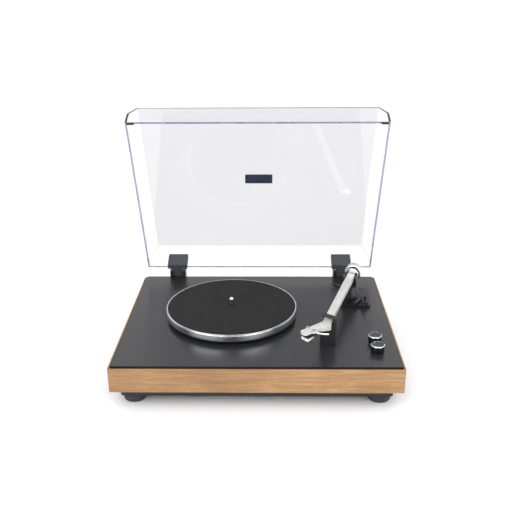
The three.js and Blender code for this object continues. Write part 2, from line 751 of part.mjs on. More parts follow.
// ---- Cueing: lever with its handle, and the curved platform it raises ----
function makeCueing(parent) {
  const handleTop = cueAxisHeight + cueHandleLength;
  const pinHalf = cueHubHalf + cueLugThickness + seatGap - 0.1;
  const lever = join(
    rod(cueHubRadius, -cueHubHalf, cueHubHalf, 20).rotateY(Math.PI / 2).translate(0, 0, cueAxisHeight),
    rod(cuePinRadius, -pinHalf, pinHalf, 12).rotateY(Math.PI / 2).translate(0, 0, cueAxisHeight),
    block([-1.4, -1.2, cueAxisHeight], [1.4, 1.2, handleTop - 2]),
    block([-2, -1.8, handleTop - 6], [2, 1.8, handleTop]),
  ).translate(cueHandleX, cueHandleY, 0);
  part("cue_lever", lever, mouldedBlack(), parent);
  const platformTop = barBottom - liftGap;
  const thickness = 2.4;
  const halfWidth = 2;
  const steps = 12;
  const arc = (radius, backwards) =>
    Array.from({ length: steps + 1 }, (_, i) => {
      const step = backwards ? steps - i : i;
      const angle = THREE.MathUtils.degToRad(liftMiddle + liftSweep * ((2 * step) / steps - 1));
      return [-radius * Math.sin(angle), -radius * Math.cos(angle)];
    });
  const outline = [...arc(liftRadius + halfWidth, true), ...arc(liftRadius - halfWidth, false)];
  const platform = join(
    prism(outline, platformTop - thickness, platformTop),
    rod(liftStemRadius, 5.5, platformTop - thickness + 1, 20).translate(liftStemX, liftStemY, 0),
  );
  part("lift_platform", platform, mouldedBlack(), parent);
}

// ---- Yoke: turns in the column and carries the arm between round cheeks ----
function makeYoke(parent) {
  const inner = barRearWidth / 2 + yokeGap;
  const outer = inner + yokeCheekThickness;
  const plateLow = columnHeight + 0.5;
  const plateTop = plateLow + 3;
  const floorTop = barBottom - 4.6;
  const cheek = (side) => {
    const middle = (side * (inner + outer)) / 2;
    const disc = rod(yokeCheekRadius, -yokeCheekThickness / 2, yokeCheekThickness / 2, 20)
      .rotateX(Math.PI / 2)
      .translate(0, middle, pivotHeight);
    const web = block(
      [-yokeCheekRadius + 1.5, middle - yokeCheekThickness / 2, plateTop],
      [yokeCheekRadius - 1.5, middle + yokeCheekThickness / 2, pivotHeight],
    );
    return join(disc, web);
  };
  const bore = rod(1.6 + boreGap, -outer - 1, outer + 1, 16)
    .rotateX(Math.PI / 2)
    .translate(0, 0, pivotHeight);
  const yoke = cut(
    join(
      rod(yokeStemRadius, -yokeStemLength, plateTop),
      rod(columnTopRadius, plateLow, plateTop, 24),
      block([-yokeCheekRadius + 1.5, -outer, plateTop - 1], [yokeCheekRadius - 1.5, outer, floorTop]),
      cheek(-1),
      cheek(1),
    ),
    bore,
  );
  part("gimbal_yoke", yoke, mouldedBlack(), parent);
}

// ---- Arm: bar and swept headshell in one piece, with what is fixed to it ----
// The arm's +X runs to the headshell; its -Y side is the side of the platter.
function makeArm(parent) {
  const sweep = -THREE.MathUtils.degToRad(offsetAngle);
  const inHead = (geometry) => geometry.rotateZ(sweep).translate(elbowDistance, 0, 0);
  const rear = barRearWidth / 2;
  const front = barFrontWidth / 2;
  const half = headWidth / 2;
  const elbowOuter = front + 2.8;
  const deep = 60;
  const bar = prism(
    [[-barTail, -rear], [elbowDistance - 2, -front], [elbowDistance + 3.4, elbowOuter],
      [elbowDistance - 12, front], [-barTail, rear]],
    barTop - 20, barTop,
  );
  const tipCurve = Array.from({ length: 7 }, (_, i) => {
    const angle = THREE.MathUtils.degToRad(-75 + 25 * i);
    return [headLength - 5 + 5 * Math.cos(angle), (half - 0.4) * Math.sin(angle)];
  });
  const head = inHead(prism([[-1, -half + 0.5], ...tipCurve, [2, half]], barTop - 20, barTop));
  const gusset = prism(
    [[elbowDistance - 2, -front], [elbowDistance + 14, -half - 4], [elbowDistance + 20, -half + 2],
      [elbowDistance + 3.4, elbowOuter]],
    barTop - 20, barTop,
  );
  const tipUnder = barTop - headTipThickness;
  const elbowUnder = barTop - elbowThickness;
  const screwX = headLength - screwSetback;
  const cartridgeRear = screwX - 4;
  const barView = [
    [-barTail, barBottom], [elbowDistance - elbowRamp, barBottom], [elbowDistance, elbowUnder],
    [elbowDistance + 10, elbowUnder], [elbowDistance + 10, barTop], [-barTail, barTop],
  ];
  const headView = [
    [-14, elbowUnder], [3, elbowUnder], [cartridgeRear - 0.6, tipUnder], [headLength, tipUnder],
    [headLength, barTop], [-14, barTop],
  ];
  const sideOn = (view) => prism(view, -deep, deep).rotateX(Math.PI / 2);
  const screwHoles = [-1, 1].map((side) =>
    inHead(rod(1.25 + seatGap, 0, 60, 16).translate(screwX, (side * screwSpacing) / 2, 0)),
  );
  const axleBore = rod(1.6, -20, 20, 16).rotateX(Math.PI / 2).translate(0, 0, pivotHeight);
  const ear = inHead(
    prism(
      roundedOutline(
        [screwX - 3, -screwSpacing / 2 - earMargin], [screwX + 3, screwSpacing / 2 + earMargin],
        [2.4, 2.4, 2.4, 2.4], 3,
      ),
      tipUnder, barTop,
    ),
  );
  const straight = common(bar, sideOn(barView));
  const swept = common(join(gusset, head), inHead(sideOn(headView)));
  part("tonearm", cut(join(straight, swept, ear), axleBore, ...screwHoles), silverLacquer(), parent);

  const bodyTop = tipUnder - seatGap;
  const bodyBottom = bodyTop - cartridgeHeight;
  const bodyHalf = 7.4;
  const cartridge = cut(
    inHead(
      join(
        block([cartridgeRear, -bodyHalf, bodyBottom + 1.4], [screwX + 12, bodyHalf, bodyTop]),
        block([cartridgeRear + 1, -bodyHalf + 2, bodyBottom], [screwX + 10, bodyHalf - 2, bodyTop - 1]),
        prism(
          roundedOutline(
            [screwX - 2.4, -screwSpacing / 2 - 2.4], [screwX + 2.4, screwSpacing / 2 + 2.4],
            [2, 2, 2, 2], 3,
          ),
          bodyTop - 2.5, bodyTop,
        ),
      ),
    ),
    ...screwHoles,
  );
  part("cartridge", cartridge, mouldedBlack(), parent);
  const holderTop = bodyBottom - seatGap;
  const holderBottom = holderTop - holderHeight;
  const holder = inHead(
    prism(
      [[screwX - 3, -3.4], [screwX + 12, -7], [screwX + 13.5, 0], [screwX + 12, 7], [screwX - 3, 3.4]],
      holderBottom, holderTop,
    ),
  );
  const slot = inHead(block([screwX + 2, -1, holderBottom - 1], [screwX + 14, 1, holderBottom + 1.6]));
  part("stylus_holder", cut(holder, slot), whitePlastic(), parent);
  const tubeStart = new THREE.Vector3(screwX + 4, 0, holderBottom + 0.6);
  const stylusTip = new THREE.Vector3(screwX + 9.5, 0, tipHeight);
  const stylus = inHead(
    new ConvexGeometry([
      ...[-0.35, 0.35].flatMap((y) => [
        new THREE.Vector3(tubeStart.x, y, tubeStart.z),
        new THREE.Vector3(tubeStart.x, y, tubeStart.z + 0.7),
        new THREE.Vector3(stylusTip.x + 0.5, y, stylusTip.z + 1.2),
        new THREE.Vector3(stylusTip.x - 0.3, y, stylusTip.z + 0.5),
      ]),
      stylusTip,
    ]),
  );
  part("stylus", stylus, aluminium(), parent);

  const screwProfile = [
    [0, bodyTop - 2.2], [1.25, bodyTop - 2.2], [1.25, barTop + seatGap], [2.2, barTop + seatGap],
    [2.2, barTop + 1.5], [1.7, barTop + 1.9], [0, barTop + 1.9],
  ];
  for (const [side, name] of [[-1, "inner"], [1, "outer"]]) {
    const screw = inHead(turned(screwProfile, 12).translate(screwX, (side * screwSpacing) / 2, 0));
    part(`cartridge_screw_${name}`, screw, steel(), parent);
  }

  // The finger lift starts at the side of the ear and runs out beside the headshell.
  const root = new THREE.Vector3(screwX, screwSpacing / 2, barTop - headTipThickness / 2)
    .applyAxisAngle(new THREE.Vector3(0, 0, 1), sweep)
    .add(new THREE.Vector3(elbowDistance, 0, 0));
  const liftPath = new THREE.CatmullRomCurve3(
    [[0, 0.05, 0], [1.1, 0.3, -0.6], [0.9, 0.65, -0.9], [0, 1, -0.5]]
      .map(([x, share, z]) => root.clone().add(new THREE.Vector3(x, fingerLiftReach * share, z))),
  );
  const section = new THREE.Shape().absarc(0, 0, fingerLiftRadius, 0, 2 * Math.PI);
  const fingerLift = new THREE.ExtrudeGeometry(section, {
    steps: 8, curveSegments: 4, extrudePath: liftPath, bevelEnabled: false,
  });
  const clear = inHead(
    block(
      [screwX - 12, -bodyHalf - 2, bodyBottom - 1],
      [screwX + 14, screwSpacing / 2 + earMargin + seatGap, barTop + 1],
    ),
  );
  part("finger_lift", cut(fingerLift, clear), whitePlastic(), parent);
}

// ---- Behind the pivot: threaded rod, force dial and counterweight ----
function makeBalance(parent) {
  const along = (geometry) => geometry.rotateY(-Math.PI / 2).translate(0, 0, pivotHeight);
  const weightStart = weightSetback - weightLength / 2;
  const weightEnd = weightStart + weightLength;
  const bore = tailRodRadius + seatGap;
  const rodStart = barTail + seatGap;
  const rodEnd = weightEnd - weightWall - weightTravel - seatGap;
  part("counterweight_rod", along(rod(tailRodRadius, rodStart, rodEnd, 20)), steel(), parent);
  const dialStart = barTail + 1.5;
  const dialProfile = [
    [bore, dialStart], [dialRadius, dialStart], [dialRadius, dialStart + dialLength],
    [bore, dialStart + dialLength],
  ];
  part("tracking_force_dial", along(turned(dialProfile, 20)), aluminium(), parent);
  const weightProfile = [
    [bore, weightStart], [weightRadius - 1, weightStart], [weightRadius, weightStart + 1],
    [weightRadius, weightEnd - 1], [weightRadius - 1, weightEnd], [0, weightEnd],
    [0, weightEnd - weightWall], [bore, weightEnd - weightWall],
  ];
  part("counterweight", along(turned(weightProfile, 28)), chrome(), parent);
}

// ---- Arm rest: post with a ledge and a clip that crosses over the parked bar ----
// Laid out in the parked arm's frame.
function makeArmRest(parent) {
  const right = restRight;
  const left = right - restWidth;
  const near = restDistance - restDepth / 2;
  const far = restDistance + restDepth / 2;
  const ledge = barBottom - restGap;
  const wallLeft = barFrontWidth / 2 + 2.6;
  const pinY = right - 3;
  const wallTop = barTop - 0.8;
  const pinZ = wallTop - clipKnuckle;
  const lugThickness = 2.6;
  const clipNear = near + lugThickness + seatGap + 0.1;
  const clipFar = far - lugThickness - seatGap - 0.1;
  const lug = (x0, x1) =>
    join(
      block([x0, wallLeft, ledge - 1], [x1, right, pinZ]),
      rod(clipKnuckle, x0, x1, 16).rotateY(Math.PI / 2).translate(0, pinY, pinZ),
    );
  const post = cut(
    join(
      block([near, left, seatGap], [far, right, ledge]),
      block(
        [near - restFlange, left - restFlange, seatGap],
        [far + restFlange, right + restFlange, seatGap + 3],
      ),
      lug(near, near + lugThickness),
      lug(far - lugThickness, far),
    ),
    rod(clipPinRadius + boreGap, near - 1, far + 1, 16).rotateY(Math.PI / 2).translate(0, pinY, pinZ),
  );
  part("arm_rest_post", post, mouldedBlack(), parent);
  const under = barTop + clipClearance;
  const armEdge = barFrontWidth / 2;
  const rise = clipRise / restWidth;
  const lowY = (y) => under + (armEdge - y) * rise;
  const band = prism(
    [
      [left + 1, lowY(left + 1)],
      [pinY + 2.2, lowY(pinY + 2.2)],
      [pinY + 2.2, lowY(pinY + 2.2) + clipThickness],
      [left + 1, lowY(left + 1) + clipThickness],
    ],
    near, far,
  );
  const stem = prism(
    [
      [pinY - 1.6, pinZ],
      [pinY + 1.6, pinZ],
      [pinY + 1.6, lowY(pinY) + 1],
      [pinY - 1.6, lowY(pinY) + 1],
    ],
    clipNear, clipFar,
  );
  const turnUp = (geometry) => geometry.rotateX(Math.PI / 2).rotateZ(Math.PI / 2);
  const clip = join(
    turnUp(band),
    turnUp(stem),
    rod(clipKnuckle - 0.4, clipNear, clipFar, 16).rotateY(Math.PI / 2).translate(0, pinY, pinZ),
    rod(clipPinRadius, near + 0.3, far - 0.3, 12).rotateY(Math.PI / 2).translate(0, pinY, pinZ),
  );
  part("arm_rest_clip", clip, mouldedBlack(), parent);
}

function makeTonearm(parent) {
  const base = groupAt(pivotX, pivotY, deckZ, parent);
  makeTonearmBase(base);
  makeCueing(base);
  const arm = groupAt(0, 0, 0, base);
  arm.rotation.z = -THREE.MathUtils.degToRad(90 + restAngle);
  makeYoke(arm);
  makeArm(arm);
  makeBalance(arm);
  makeArmRest(arm);
}

// ---- Dust cover, drawn closed round its hinge axis and then turned open ----
// In its frame Y runs back from the axis and Z up, with the cover closed.
function makeCover(parent) {
  const hinge = groupAt(0, hingeY, deckZ + hingeZ, parent);
  const cover = groupAt(0, 0, 0, hinge);
  cover.rotation.x = -THREE.MathUtils.degToRad(coverOpenAngle);
  const rim = -hingeRise;
  const back = -hingeSetback;
  const leanAt = (height) =>
    height <= coverStraight
      ? 0
      : (coverLean * (height - coverStraight)) / (coverHeight - coverStraight);
  const ringOfPoints = (height, inset, rearInset) => {
    const side = coverWidth / 2 - inset - leanAt(height);
    const far = back - coverLength + inset + leanAt(height);
    return [
      [-side, far], [side, far], [side, back - rearInset], [-side, back - rearInset],
    ].map(([x, y]) => new THREE.Vector3(x, y, rim + height));
  };
  const outside = new ConvexGeometry([
    ...ringOfPoints(0, 0, 0), ...ringOfPoints(coverStraight, 0, 0), ...ringOfPoints(coverHeight, 0, 0),
  ]);
  const inside = new ConvexGeometry([
    ...ringOfPoints(-1, coverWall, coverWall),
    ...ringOfPoints(coverStraight, coverWall, coverWall),
    ...ringOfPoints(coverHeight - coverWall, coverWall, coverWall),
  ]);
  part("dust_cover", cut(outside, inside), clearAcrylic(), cover);

  const badgeLow = rim + coverHeight + seatGap;
  const badgeY = back - coverLength / 2 - 3;
  const badge = block(
    [-badgeWidth / 2, badgeY - badgeHeight / 2, badgeLow],
    [badgeWidth / 2, badgeY + badgeHeight / 2, badgeLow + badgeThickness],
  );
  part("badge_plate", badge, navyPlate(), cover);

  for (const [side, sign] of [["left", -1], ["right", 1]]) {
    const bumperX = sign * (coverWidth / 2 - 9);
    const bumperY = back - coverLength + coverWall / 2;
    const bumper = block(
      [bumperX - 6, bumperY - coverWall / 2, rim - coverRimHeight + seatGap],
      [bumperX + 6, bumperY + coverWall / 2, rim - seatGap],
    );
    part(`cover_bumper_${side}`, bumper, rubber(), cover);

    const shell = block(
      [-clampWidth / 2, back - coverWall - seatGap - clampInner, rim - 1.2],
      [clampWidth / 2, back + seatGap + clampOuter, rim + clampLength],
    );
    const slot = block(
      [-clampWidth, back - coverWall - seatGap, rim - seatGap],
      [clampWidth, back + seatGap, rim + clampLength + 1],
    );
    const leaf = block(
      [-leafWidth / 2, back + seatGap + clampOuter - 1, rim - 1.2],
      [leafWidth / 2, 0, rim + 5.4],
    );
    const alongX = (radius, halfLength) =>
      rod(radius, -halfLength, halfLength).rotateY(Math.PI / 2);
    const clamp = cut(
      join(cut(shell, slot), leaf, alongX(barrelRadius, leafWidth / 2)),
      alongX(hingePinRadius + seatGap, clampWidth),
    );
    const hingeX = sign * hingeOffset;
    part(`hinge_clamp_${side}`, clamp, mouldedBlack(), cover).position.x = hingeX;

    const legFront = rearY + 0.4 - hingeY;
    const blockRear = hingeBlockAhead + 0.2;
    const blockLow = seatGap - hingeZ;
    const blockTop = hingeBlockTop - hingeZ;
    const cheekOutline = [
      [-hingeBlockAhead, blockLow], [legFront, blockLow], [legFront, blockLow - hingeLeg],
      [blockRear - 4, blockLow - hingeLeg], [blockRear, blockLow - 2], [blockRear, blockTop - 2],
      [blockRear - 2, blockTop], [-hingeBlockAhead + 1.6, blockTop], [-hingeBlockAhead, blockTop - 1.6],
    ];
    const bridgeOutline = [
      [legFront, blockLow - hingeLeg], [blockRear - 4, blockLow - hingeLeg],
      [blockRear, blockLow - 2], [blockRear, blockLow - 0.1], [legFront, blockLow - 0.1],
    ];
    const slotHalf = leafWidth / 2 + 0.4;
    const base = cut(
      join(
        sidePrism(cheekOutline, -hingeWidth / 2, -slotHalf),
        sidePrism(cheekOutline, slotHalf, hingeWidth / 2),
        sidePrism(bridgeOutline, -hingeWidth / 2, hingeWidth / 2),
      ),
      alongX(hingePinRadius + seatGap, hingeWidth),
    );
    part(`hinge_base_${side}`, base, mouldedBlack(), hinge).position.x = hingeX;
    const pin = alongX(hingePinRadius, hingeWidth / 2 - 0.2);
    part(`hinge_pin_${side}`, pin, steel(), hinge).position.x = hingeX;
  }
}

const turntable = new THREE.Group();
const model = new THREE.Group();
turntable.add(model);
const deck = groupAt(0, 0, deckZ, model);
makePlinth(deck);
makeTopPlate(deck);
makeTray(model);
makeBoard(model);
makeTerminals(model);
makePlatter(model);
makeDrive(model);
makeKnobs(model);
makeTonearm(model);
makeCover(model);

// The open cover leans out behind the plinth, so the origin sits behind the plinth's own middle.
const extent = new THREE.Box3().setFromObject(model, true);
model.position.set(-(extent.min.x + extent.max.x) / 2, -(extent.min.y + extent.max.y) / 2, -extent.min.z);

export default turntable;
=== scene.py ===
import json
import math

import bmesh
import bpy
from mathutils import Matrix, Vector, noise


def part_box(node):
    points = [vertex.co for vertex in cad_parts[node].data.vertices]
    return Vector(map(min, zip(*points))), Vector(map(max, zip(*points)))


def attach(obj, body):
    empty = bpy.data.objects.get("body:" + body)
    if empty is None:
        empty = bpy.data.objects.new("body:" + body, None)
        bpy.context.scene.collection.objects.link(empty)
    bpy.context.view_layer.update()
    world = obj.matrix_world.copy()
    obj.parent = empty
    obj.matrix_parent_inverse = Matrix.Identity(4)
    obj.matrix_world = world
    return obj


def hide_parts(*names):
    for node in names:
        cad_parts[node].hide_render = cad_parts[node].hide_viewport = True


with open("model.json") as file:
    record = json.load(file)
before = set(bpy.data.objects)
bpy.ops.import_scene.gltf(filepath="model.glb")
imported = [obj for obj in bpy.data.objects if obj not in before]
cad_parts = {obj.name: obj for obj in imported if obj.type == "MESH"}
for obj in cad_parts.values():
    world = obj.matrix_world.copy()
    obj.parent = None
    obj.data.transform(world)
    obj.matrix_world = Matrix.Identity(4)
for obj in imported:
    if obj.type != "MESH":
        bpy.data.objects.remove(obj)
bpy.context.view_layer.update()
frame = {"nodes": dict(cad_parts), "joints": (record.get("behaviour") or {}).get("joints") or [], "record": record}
mm = 0.001

bodyOfNode = {n: body for body, nodes in frame["record"]["behaviour"]["bodies"].items() for n in nodes}
joints = {joint["name"]: joint for joint in frame["joints"]}


# small tools
def linear(code):
    parts = [int(code[i:i + 2], 16) / 255 for i in (1, 3, 5)]  # sRGB hex in, the shader's linear colour out
    return [c / 12.92 if c <= 0.04045 else ((c + 0.055) / 1.055) ** 2.4 for c in parts] + [1.0]


def perMetre(size):
    return 1 / (size * mm)  # texture scale whose features are about this many millimetres


# inputs are plain values or other nodes' outputs, stops are a colour ramp's, and out picks the output handed back
def addNode(tree, kind, inputs=None, out=None, stops=(), **settings):
    node = tree.nodes.new(kind)
    for key, value in settings.items():
        setattr(node, key, value)
    for key, value in (inputs or {}).items():
        if isinstance(value, bpy.types.NodeSocket):
            tree.links.new(value, node.inputs[key])
        else:
            node.inputs[key].default_value = value
    for i, (position, colour) in enumerate(stops):
        elements = node.color_ramp.elements
        element = elements[i] if i < len(elements) else elements.new(1.0)
        element.position = position
        element.color = linear(colour) if isinstance(colour, str) else [colour] * 3 + [1]
    return node if out is None else node.outputs[out]


def newMaterial(name):
    material = bpy.data.materials.new(name)
    material.use_nodes = True
    material.node_tree.nodes.clear()
    return material, material.node_tree


def finishMaterial(material, tree, **inputs):
    shader = addNode(tree, "ShaderNodeBsdfPrincipled", inputs)
    addNode(tree, "ShaderNodeOutputMaterial", {"Surface": shader.outputs[0]})
    return material


# The piece's own place, squeezed on each axis so that a pattern runs long where the scale is small
def stretched(tree, scale):
    place = addNode(tree, "ShaderNodeTexCoord", out="Object")
    return addNode(tree, "ShaderNodeVectorMath", {0: place, 1: scale}, 0, operation="MULTIPLY")


# materials
evenly = (1, 1, 1)
noiseSpan = {"From Min": 0.3, "From Max": 0.7}  # most of a noise lies between these


# Oiled oak veneer, sliced and pressed on the panels: warm straight grain with darker pores
oakVeneer = dict(
    tones=[(0.15, "#7f5c38"), (0.42, "#8f6b45"), (0.6, "#9d7750"), (0.85, "#b08f66")],
    pore="#6d4e30", poreShare=0.4, streak=3.6, fine=1.0, patch=90, poreSize=0.5, stretch=0.05, poreStretch=0.1,
    depth=0.05, roughness=(0.42, 0.58),
)


def makeOak(name, along):
    s = oakVeneer
    material, tree = newMaterial(name)
    long = stretched(tree, [s["stretch"] if axis == along else 1.0 for axis in range(3)])
    short = stretched(tree, [s["poreStretch"] if axis == along else 1.0 for axis in range(3)])
    streaks = addNode(tree, "ShaderNodeTexNoise", {
        "Vector": long, "Scale": perMetre(s["streak"]), "Detail": 4.0, "Distortion": 0.5,
    }, "Fac")
    fine = addNode(tree, "ShaderNodeTexNoise", {"Vector": long, "Scale": perMetre(s["fine"]), "Detail": 3.0}, "Fac")
    patches = addNode(tree, "ShaderNodeTexNoise", {
        "Vector": stretched(tree, evenly), "Scale": perMetre(s["patch"]), "Detail": 1.0,
    }, "Fac")
    mixed = addNode(tree, "ShaderNodeMath", {0: streaks, 1: fine}, 0, operation="ADD")
    mixed = addNode(tree, "ShaderNodeMath", {0: mixed, 1: patches}, 0, operation="ADD")
    mixed = addNode(tree, "ShaderNodeMath", {0: mixed, 1: 3.0}, 0, operation="DIVIDE")
    share = addNode(tree, "ShaderNodeMapRange", {"Value": mixed, **noiseSpan}, 0)
    wood = addNode(tree, "ShaderNodeValToRGB", {"Fac": share}, "Color", s["tones"])
    # Real pores are 0.2 mm wide, drawn wider so that they show
    pore = addNode(tree, "ShaderNodeTexNoise", {
        "Vector": short, "Scale": perMetre(s["poreSize"]), "Detail": 1.0,
    }, "Fac")
    pores = addNode(tree, "ShaderNodeValToRGB", {"Fac": pore}, "Color", [(0.56, 0.0), (0.7, 1.0)])
    depth = addNode(tree, "ShaderNodeMath", {0: pores, 1: s["poreShare"]}, 0, operation="MULTIPLY")
    height = addNode(tree, "ShaderNodeMath", {0: fine, 1: pores}, 0, operation="SUBTRACT")
    return finishMaterial(material, tree, **{
        "Base Color": addNode(tree, "ShaderNodeMix", {0: depth, 6: wood, 7: linear(s["pore"])}, 2, data_type="RGBA"),
        "Roughness": addNode(tree, "ShaderNodeMapRange", {
            "Value": fine, **noiseSpan, "To Min": s["roughness"][0], "To Max": s["roughness"][1],
        }, 0),
        "Normal": addNode(tree, "ShaderNodeBump", {"Height": height, "Distance": s["depth"] * mm}, 0),
        "IOR": 1.5, "Coat Weight": 0.12, "Coat Roughness": 0.35,
    })


# Moulded, coated and rubber finishes: a base colour that drifts a little, and a fine skin
skins = {
    # Satin lacquer over board: an even near-black that mirrors softly at low angles
    "satinLacquer": dict(low="#222224", high="#2b2b2e", cloud=60, skin=0.5, depth=0.006, roughness=(0.25, 0.32)),
    # Moulded ABS: dull black with a spark-eroded texture
    "mouldedAbs": dict(low="#0f0f12", high="#161619", cloud=7, skin=0.45, depth=0.03, roughness=(0.34, 0.46)),
    # Trays and hinge blocks: ABS with a coarser tool texture, and a lighter grey colour that is painted sheen
    "texturedAbsPaintedSheen": dict(low="#3a3c42", high="#484a51", cloud=9, skin=0.7, depth=0.05, roughness=(0.42, 0.55)),
    # Polished ABS: deep black with clear highlights
    "glossAbs": dict(low="#0b0b0c", high="#111113", cloud=12, skin=1.2, depth=0.004, roughness=(0.12, 0.2)),
    # Rubber feet and bumpers: matte blue-grey black, slightly powdery
    "feetRubber": dict(low="#22242a", high="#2e3038", cloud=5, skin=0.6, depth=0.05, roughness=(0.62, 0.78)),
    # Neoprene belt: smooth matte black
    "beltRubber": dict(low="#17171a", high="#1f1f22", cloud=4, skin=0.4, depth=0.02, roughness=(0.5, 0.6)),
    # Moulded polystyrene: soft white with the faintest texture
    "whitePolystyrene": dict(low="#e2e2de", high="#f2f2ef", cloud=5, skin=0.4, depth=0.01, roughness=(0.35, 0.45)),
    # Coloured ABS caps of the speaker posts
    "redAbs": dict(low="#7d1512", high="#961c18", cloud=4, skin=0.4, depth=0.02, roughness=(0.3, 0.4)),
    # Solder mask on the circuit board: glossy dark green
    "solderMask": dict(low="#123b22", high="#1b4d2e", cloud=3, skin=1.0, depth=0.03, roughness=(0.25, 0.4)),
    # Printed badge plate, left blank: deep navy under clear lacquer
    "navyLacquer": dict(low="#5f667f", high="#727995", cloud=6, skin=0.8, depth=0.006, roughness=(0.22, 0.3)),
}


def makeSkin(name):
    s = skins[name]
    material, tree = newMaterial(name)
    plain = stretched(tree, evenly)
    cloud = addNode(tree, "ShaderNodeTexNoise", {"Vector": plain, "Scale": perMetre(s["cloud"]), "Detail": 3.0}, "Fac")
    skin = addNode(tree, "ShaderNodeTexNoise", {"Vector": plain, "Scale": perMetre(s["skin"])}, "Fac")
    return finishMaterial(material, tree, **{
        "Base Color": addNode(tree, "ShaderNodeMix", {0: cloud, 6: linear(s["low"]), 7: linear(s["high"])}, 2,
                              data_type="RGBA"),
        "Roughness": addNode(tree, "ShaderNodeMapRange", {
            "Value": skin, **noiseSpan, "To Min": s["roughness"][0], "To Max": s["roughness"][1],
        }, 0),
        "Normal": addNode(tree, "ShaderNodeBump", {"Height": skin, "Distance": s["depth"] * mm}, 0),
        "IOR": 1.5,
    })


# Metals: a tint, how the surface was made, and how rough that leaves it
metals = {
    # Die-cast aluminium, diamond turned on its rim: bright, with fine rings that stretch the light upwards
    "turnedAluminium": dict(tint="#eceef0", dark="#dcdee1", line=0.25, depth=0.105, roughness=(0.08, 0.14)),
    # Chromium plate on steel: near mirror
    "chromePlate": dict(tint="#e6e8ea", dark="#dadde0", line=1.4, depth=0.002, roughness=(0.04, 0.09)),
    # Zinc-plated steel: cool grey, slightly dull
    "zincSteel": dict(tint="#b2b5b9", dark="#94979b", line=0.8, depth=0.01, roughness=(0.25, 0.4)),
    # Turned brass
    "turnedBrass": dict(tint="#cba25c", dark="#a98243", line=0.5, depth=0.01, roughness=(0.22, 0.34)),
}


def makeMetal(name):
    s = metals[name]
    material, tree = newMaterial(name)
    # Real turning marks are about 0.05 mm apart, drawn coarser so that they still scatter the light
    rings = addNode(tree, "ShaderNodeTexNoise", {
        "Vector": stretched(tree, (0.04, 0.04, 1)), "Scale": perMetre(s["line"]),
    }, "Fac")
    stain = addNode(tree, "ShaderNodeTexNoise", {
        "Vector": stretched(tree, evenly), "Scale": perMetre(18), "Detail": 3.0,
    }, "Fac")
    return finishMaterial(material, tree, **{
        "Base Color": addNode(tree, "ShaderNodeMix", {0: stain, 6: linear(s["dark"]), 7: linear(s["tint"])}, 2,
                              data_type="RGBA"),
        "Metallic": 1.0,
        "Roughness": addNode(tree, "ShaderNodeMapRange", {
            "Value": rings, **noiseSpan, "To Min": s["roughness"][0], "To Max": s["roughness"][1],
        }, 0),
        "Normal": addNode(tree, "ShaderNodeBump", {"Height": rings, "Distance": s["depth"] * mm}, 0),
    })


# Silver lacquer on the aluminium arm: pale, faintly warm, with flake that breaks up the light
silverLacquer = dict(low="#bdbdb9", high="#d9d9d5", flake=0.7, cloud=12, depth=0.012, metallic=0.2,
                     roughness=(0.28, 0.42))


def makeSilverLacquer():
    s = silverLacquer
    material, tree = newMaterial("silverLacquer")
    plain = stretched(tree, evenly)
    flake = addNode(tree, "ShaderNodeTexNoise", {"Vector": plain, "Scale": perMetre(s["flake"]), "Detail": 1.0}, "Fac")
    cloud = addNode(tree, "ShaderNodeTexNoise", {"Vector": plain, "Scale": perMetre(s["cloud"])}, "Fac")
    tone = addNode(tree, "ShaderNodeMath", {0: flake, 1: cloud}, 0, operation="MULTIPLY")
    return finishMaterial(material, tree, **{
        "Base Color": addNode(tree, "ShaderNodeValToRGB", {"Fac": tone}, "Color",
                              [(0.12, s["low"]), (0.38, s["high"])]),
        "Metallic": s["metallic"],
        "Roughness": addNode(tree, "ShaderNodeMapRange", {
            "Value": flake, **noiseSpan, "To Min": s["roughness"][0], "To Max": s["roughness"][1],
        }, 0),
        "Normal": addNode(tree, "ShaderNodeBump", {"Height": flake, "Distance": s["depth"] * mm}, 0),
        "Coat Weight": 0.4, "Coat Roughness": 0.12,
    })


# Pressed wool felt: matte charcoal, matted fibres every way and lighter flecks
woolFelt = dict(low="#090909", high="#1b1b1c", fleck="#383839", fibre=0.9, mat=4, speck=1.6, depth=0.25,
                roughness=(0.9, 1.0))


def makeFelt():
    s = woolFelt
    material, tree = newMaterial("woolFelt")
    plain = stretched(tree, evenly)
    fibre = addNode(tree, "ShaderNodeTexNoise", {
        "Vector": plain, "Scale": perMetre(s["fibre"]), "Detail": 4.0, "Distortion": 2.0,
    }, "Fac")
    matted = addNode(tree, "ShaderNodeTexNoise", {"Vector": plain, "Scale": perMetre(s["mat"]), "Detail": 3.0}, "Fac")
    tone = addNode(tree, "ShaderNodeMath", {0: fibre, 1: matted}, 0, operation="ADD")
    colour = addNode(tree, "ShaderNodeValToRGB", {"Fac": tone}, "Color", [(0.75, s["low"]), (1.25, s["high"])])
    speck = addNode(tree, "ShaderNodeTexNoise", {"Vector": plain, "Scale": perMetre(s["speck"])}, "Fac")
    flecks = addNode(tree, "ShaderNodeValToRGB", {"Fac": speck}, "Color", [(0.66, 0.0), (0.74, 0.6)])
    return finishMaterial(material, tree, **{
        "Base Color": addNode(tree, "ShaderNodeMix", {0: flecks, 6: colour, 7: linear(s["fleck"])}, 2,
                              data_type="RGBA"),
        "Roughness": addNode(tree, "ShaderNodeMapRange", {
            "Value": fibre, **noiseSpan, "To Min": s["roughness"][0], "To Max": s["roughness"][1],
        }, 0),
        "Normal": addNode(tree, "ShaderNodeBump", {"Height": tone, "Distance": s["depth"] * mm}, 0),
        "Sheen Weight": 0.06, "Sheen Roughness": 0.5, "Specular IOR Level": 0.2,
    })


# Cast acrylic sheet: clear and glossy, with painted shade that tints it greyer through the wide top panel, violet and
# duller along its cut edges
castAcrylic = dict(clear="#f6f6f8", roofShade="#dadadc", edge="#aaa5d8", ior=1.49, smear=45, roughness=(0.0, 0.0))


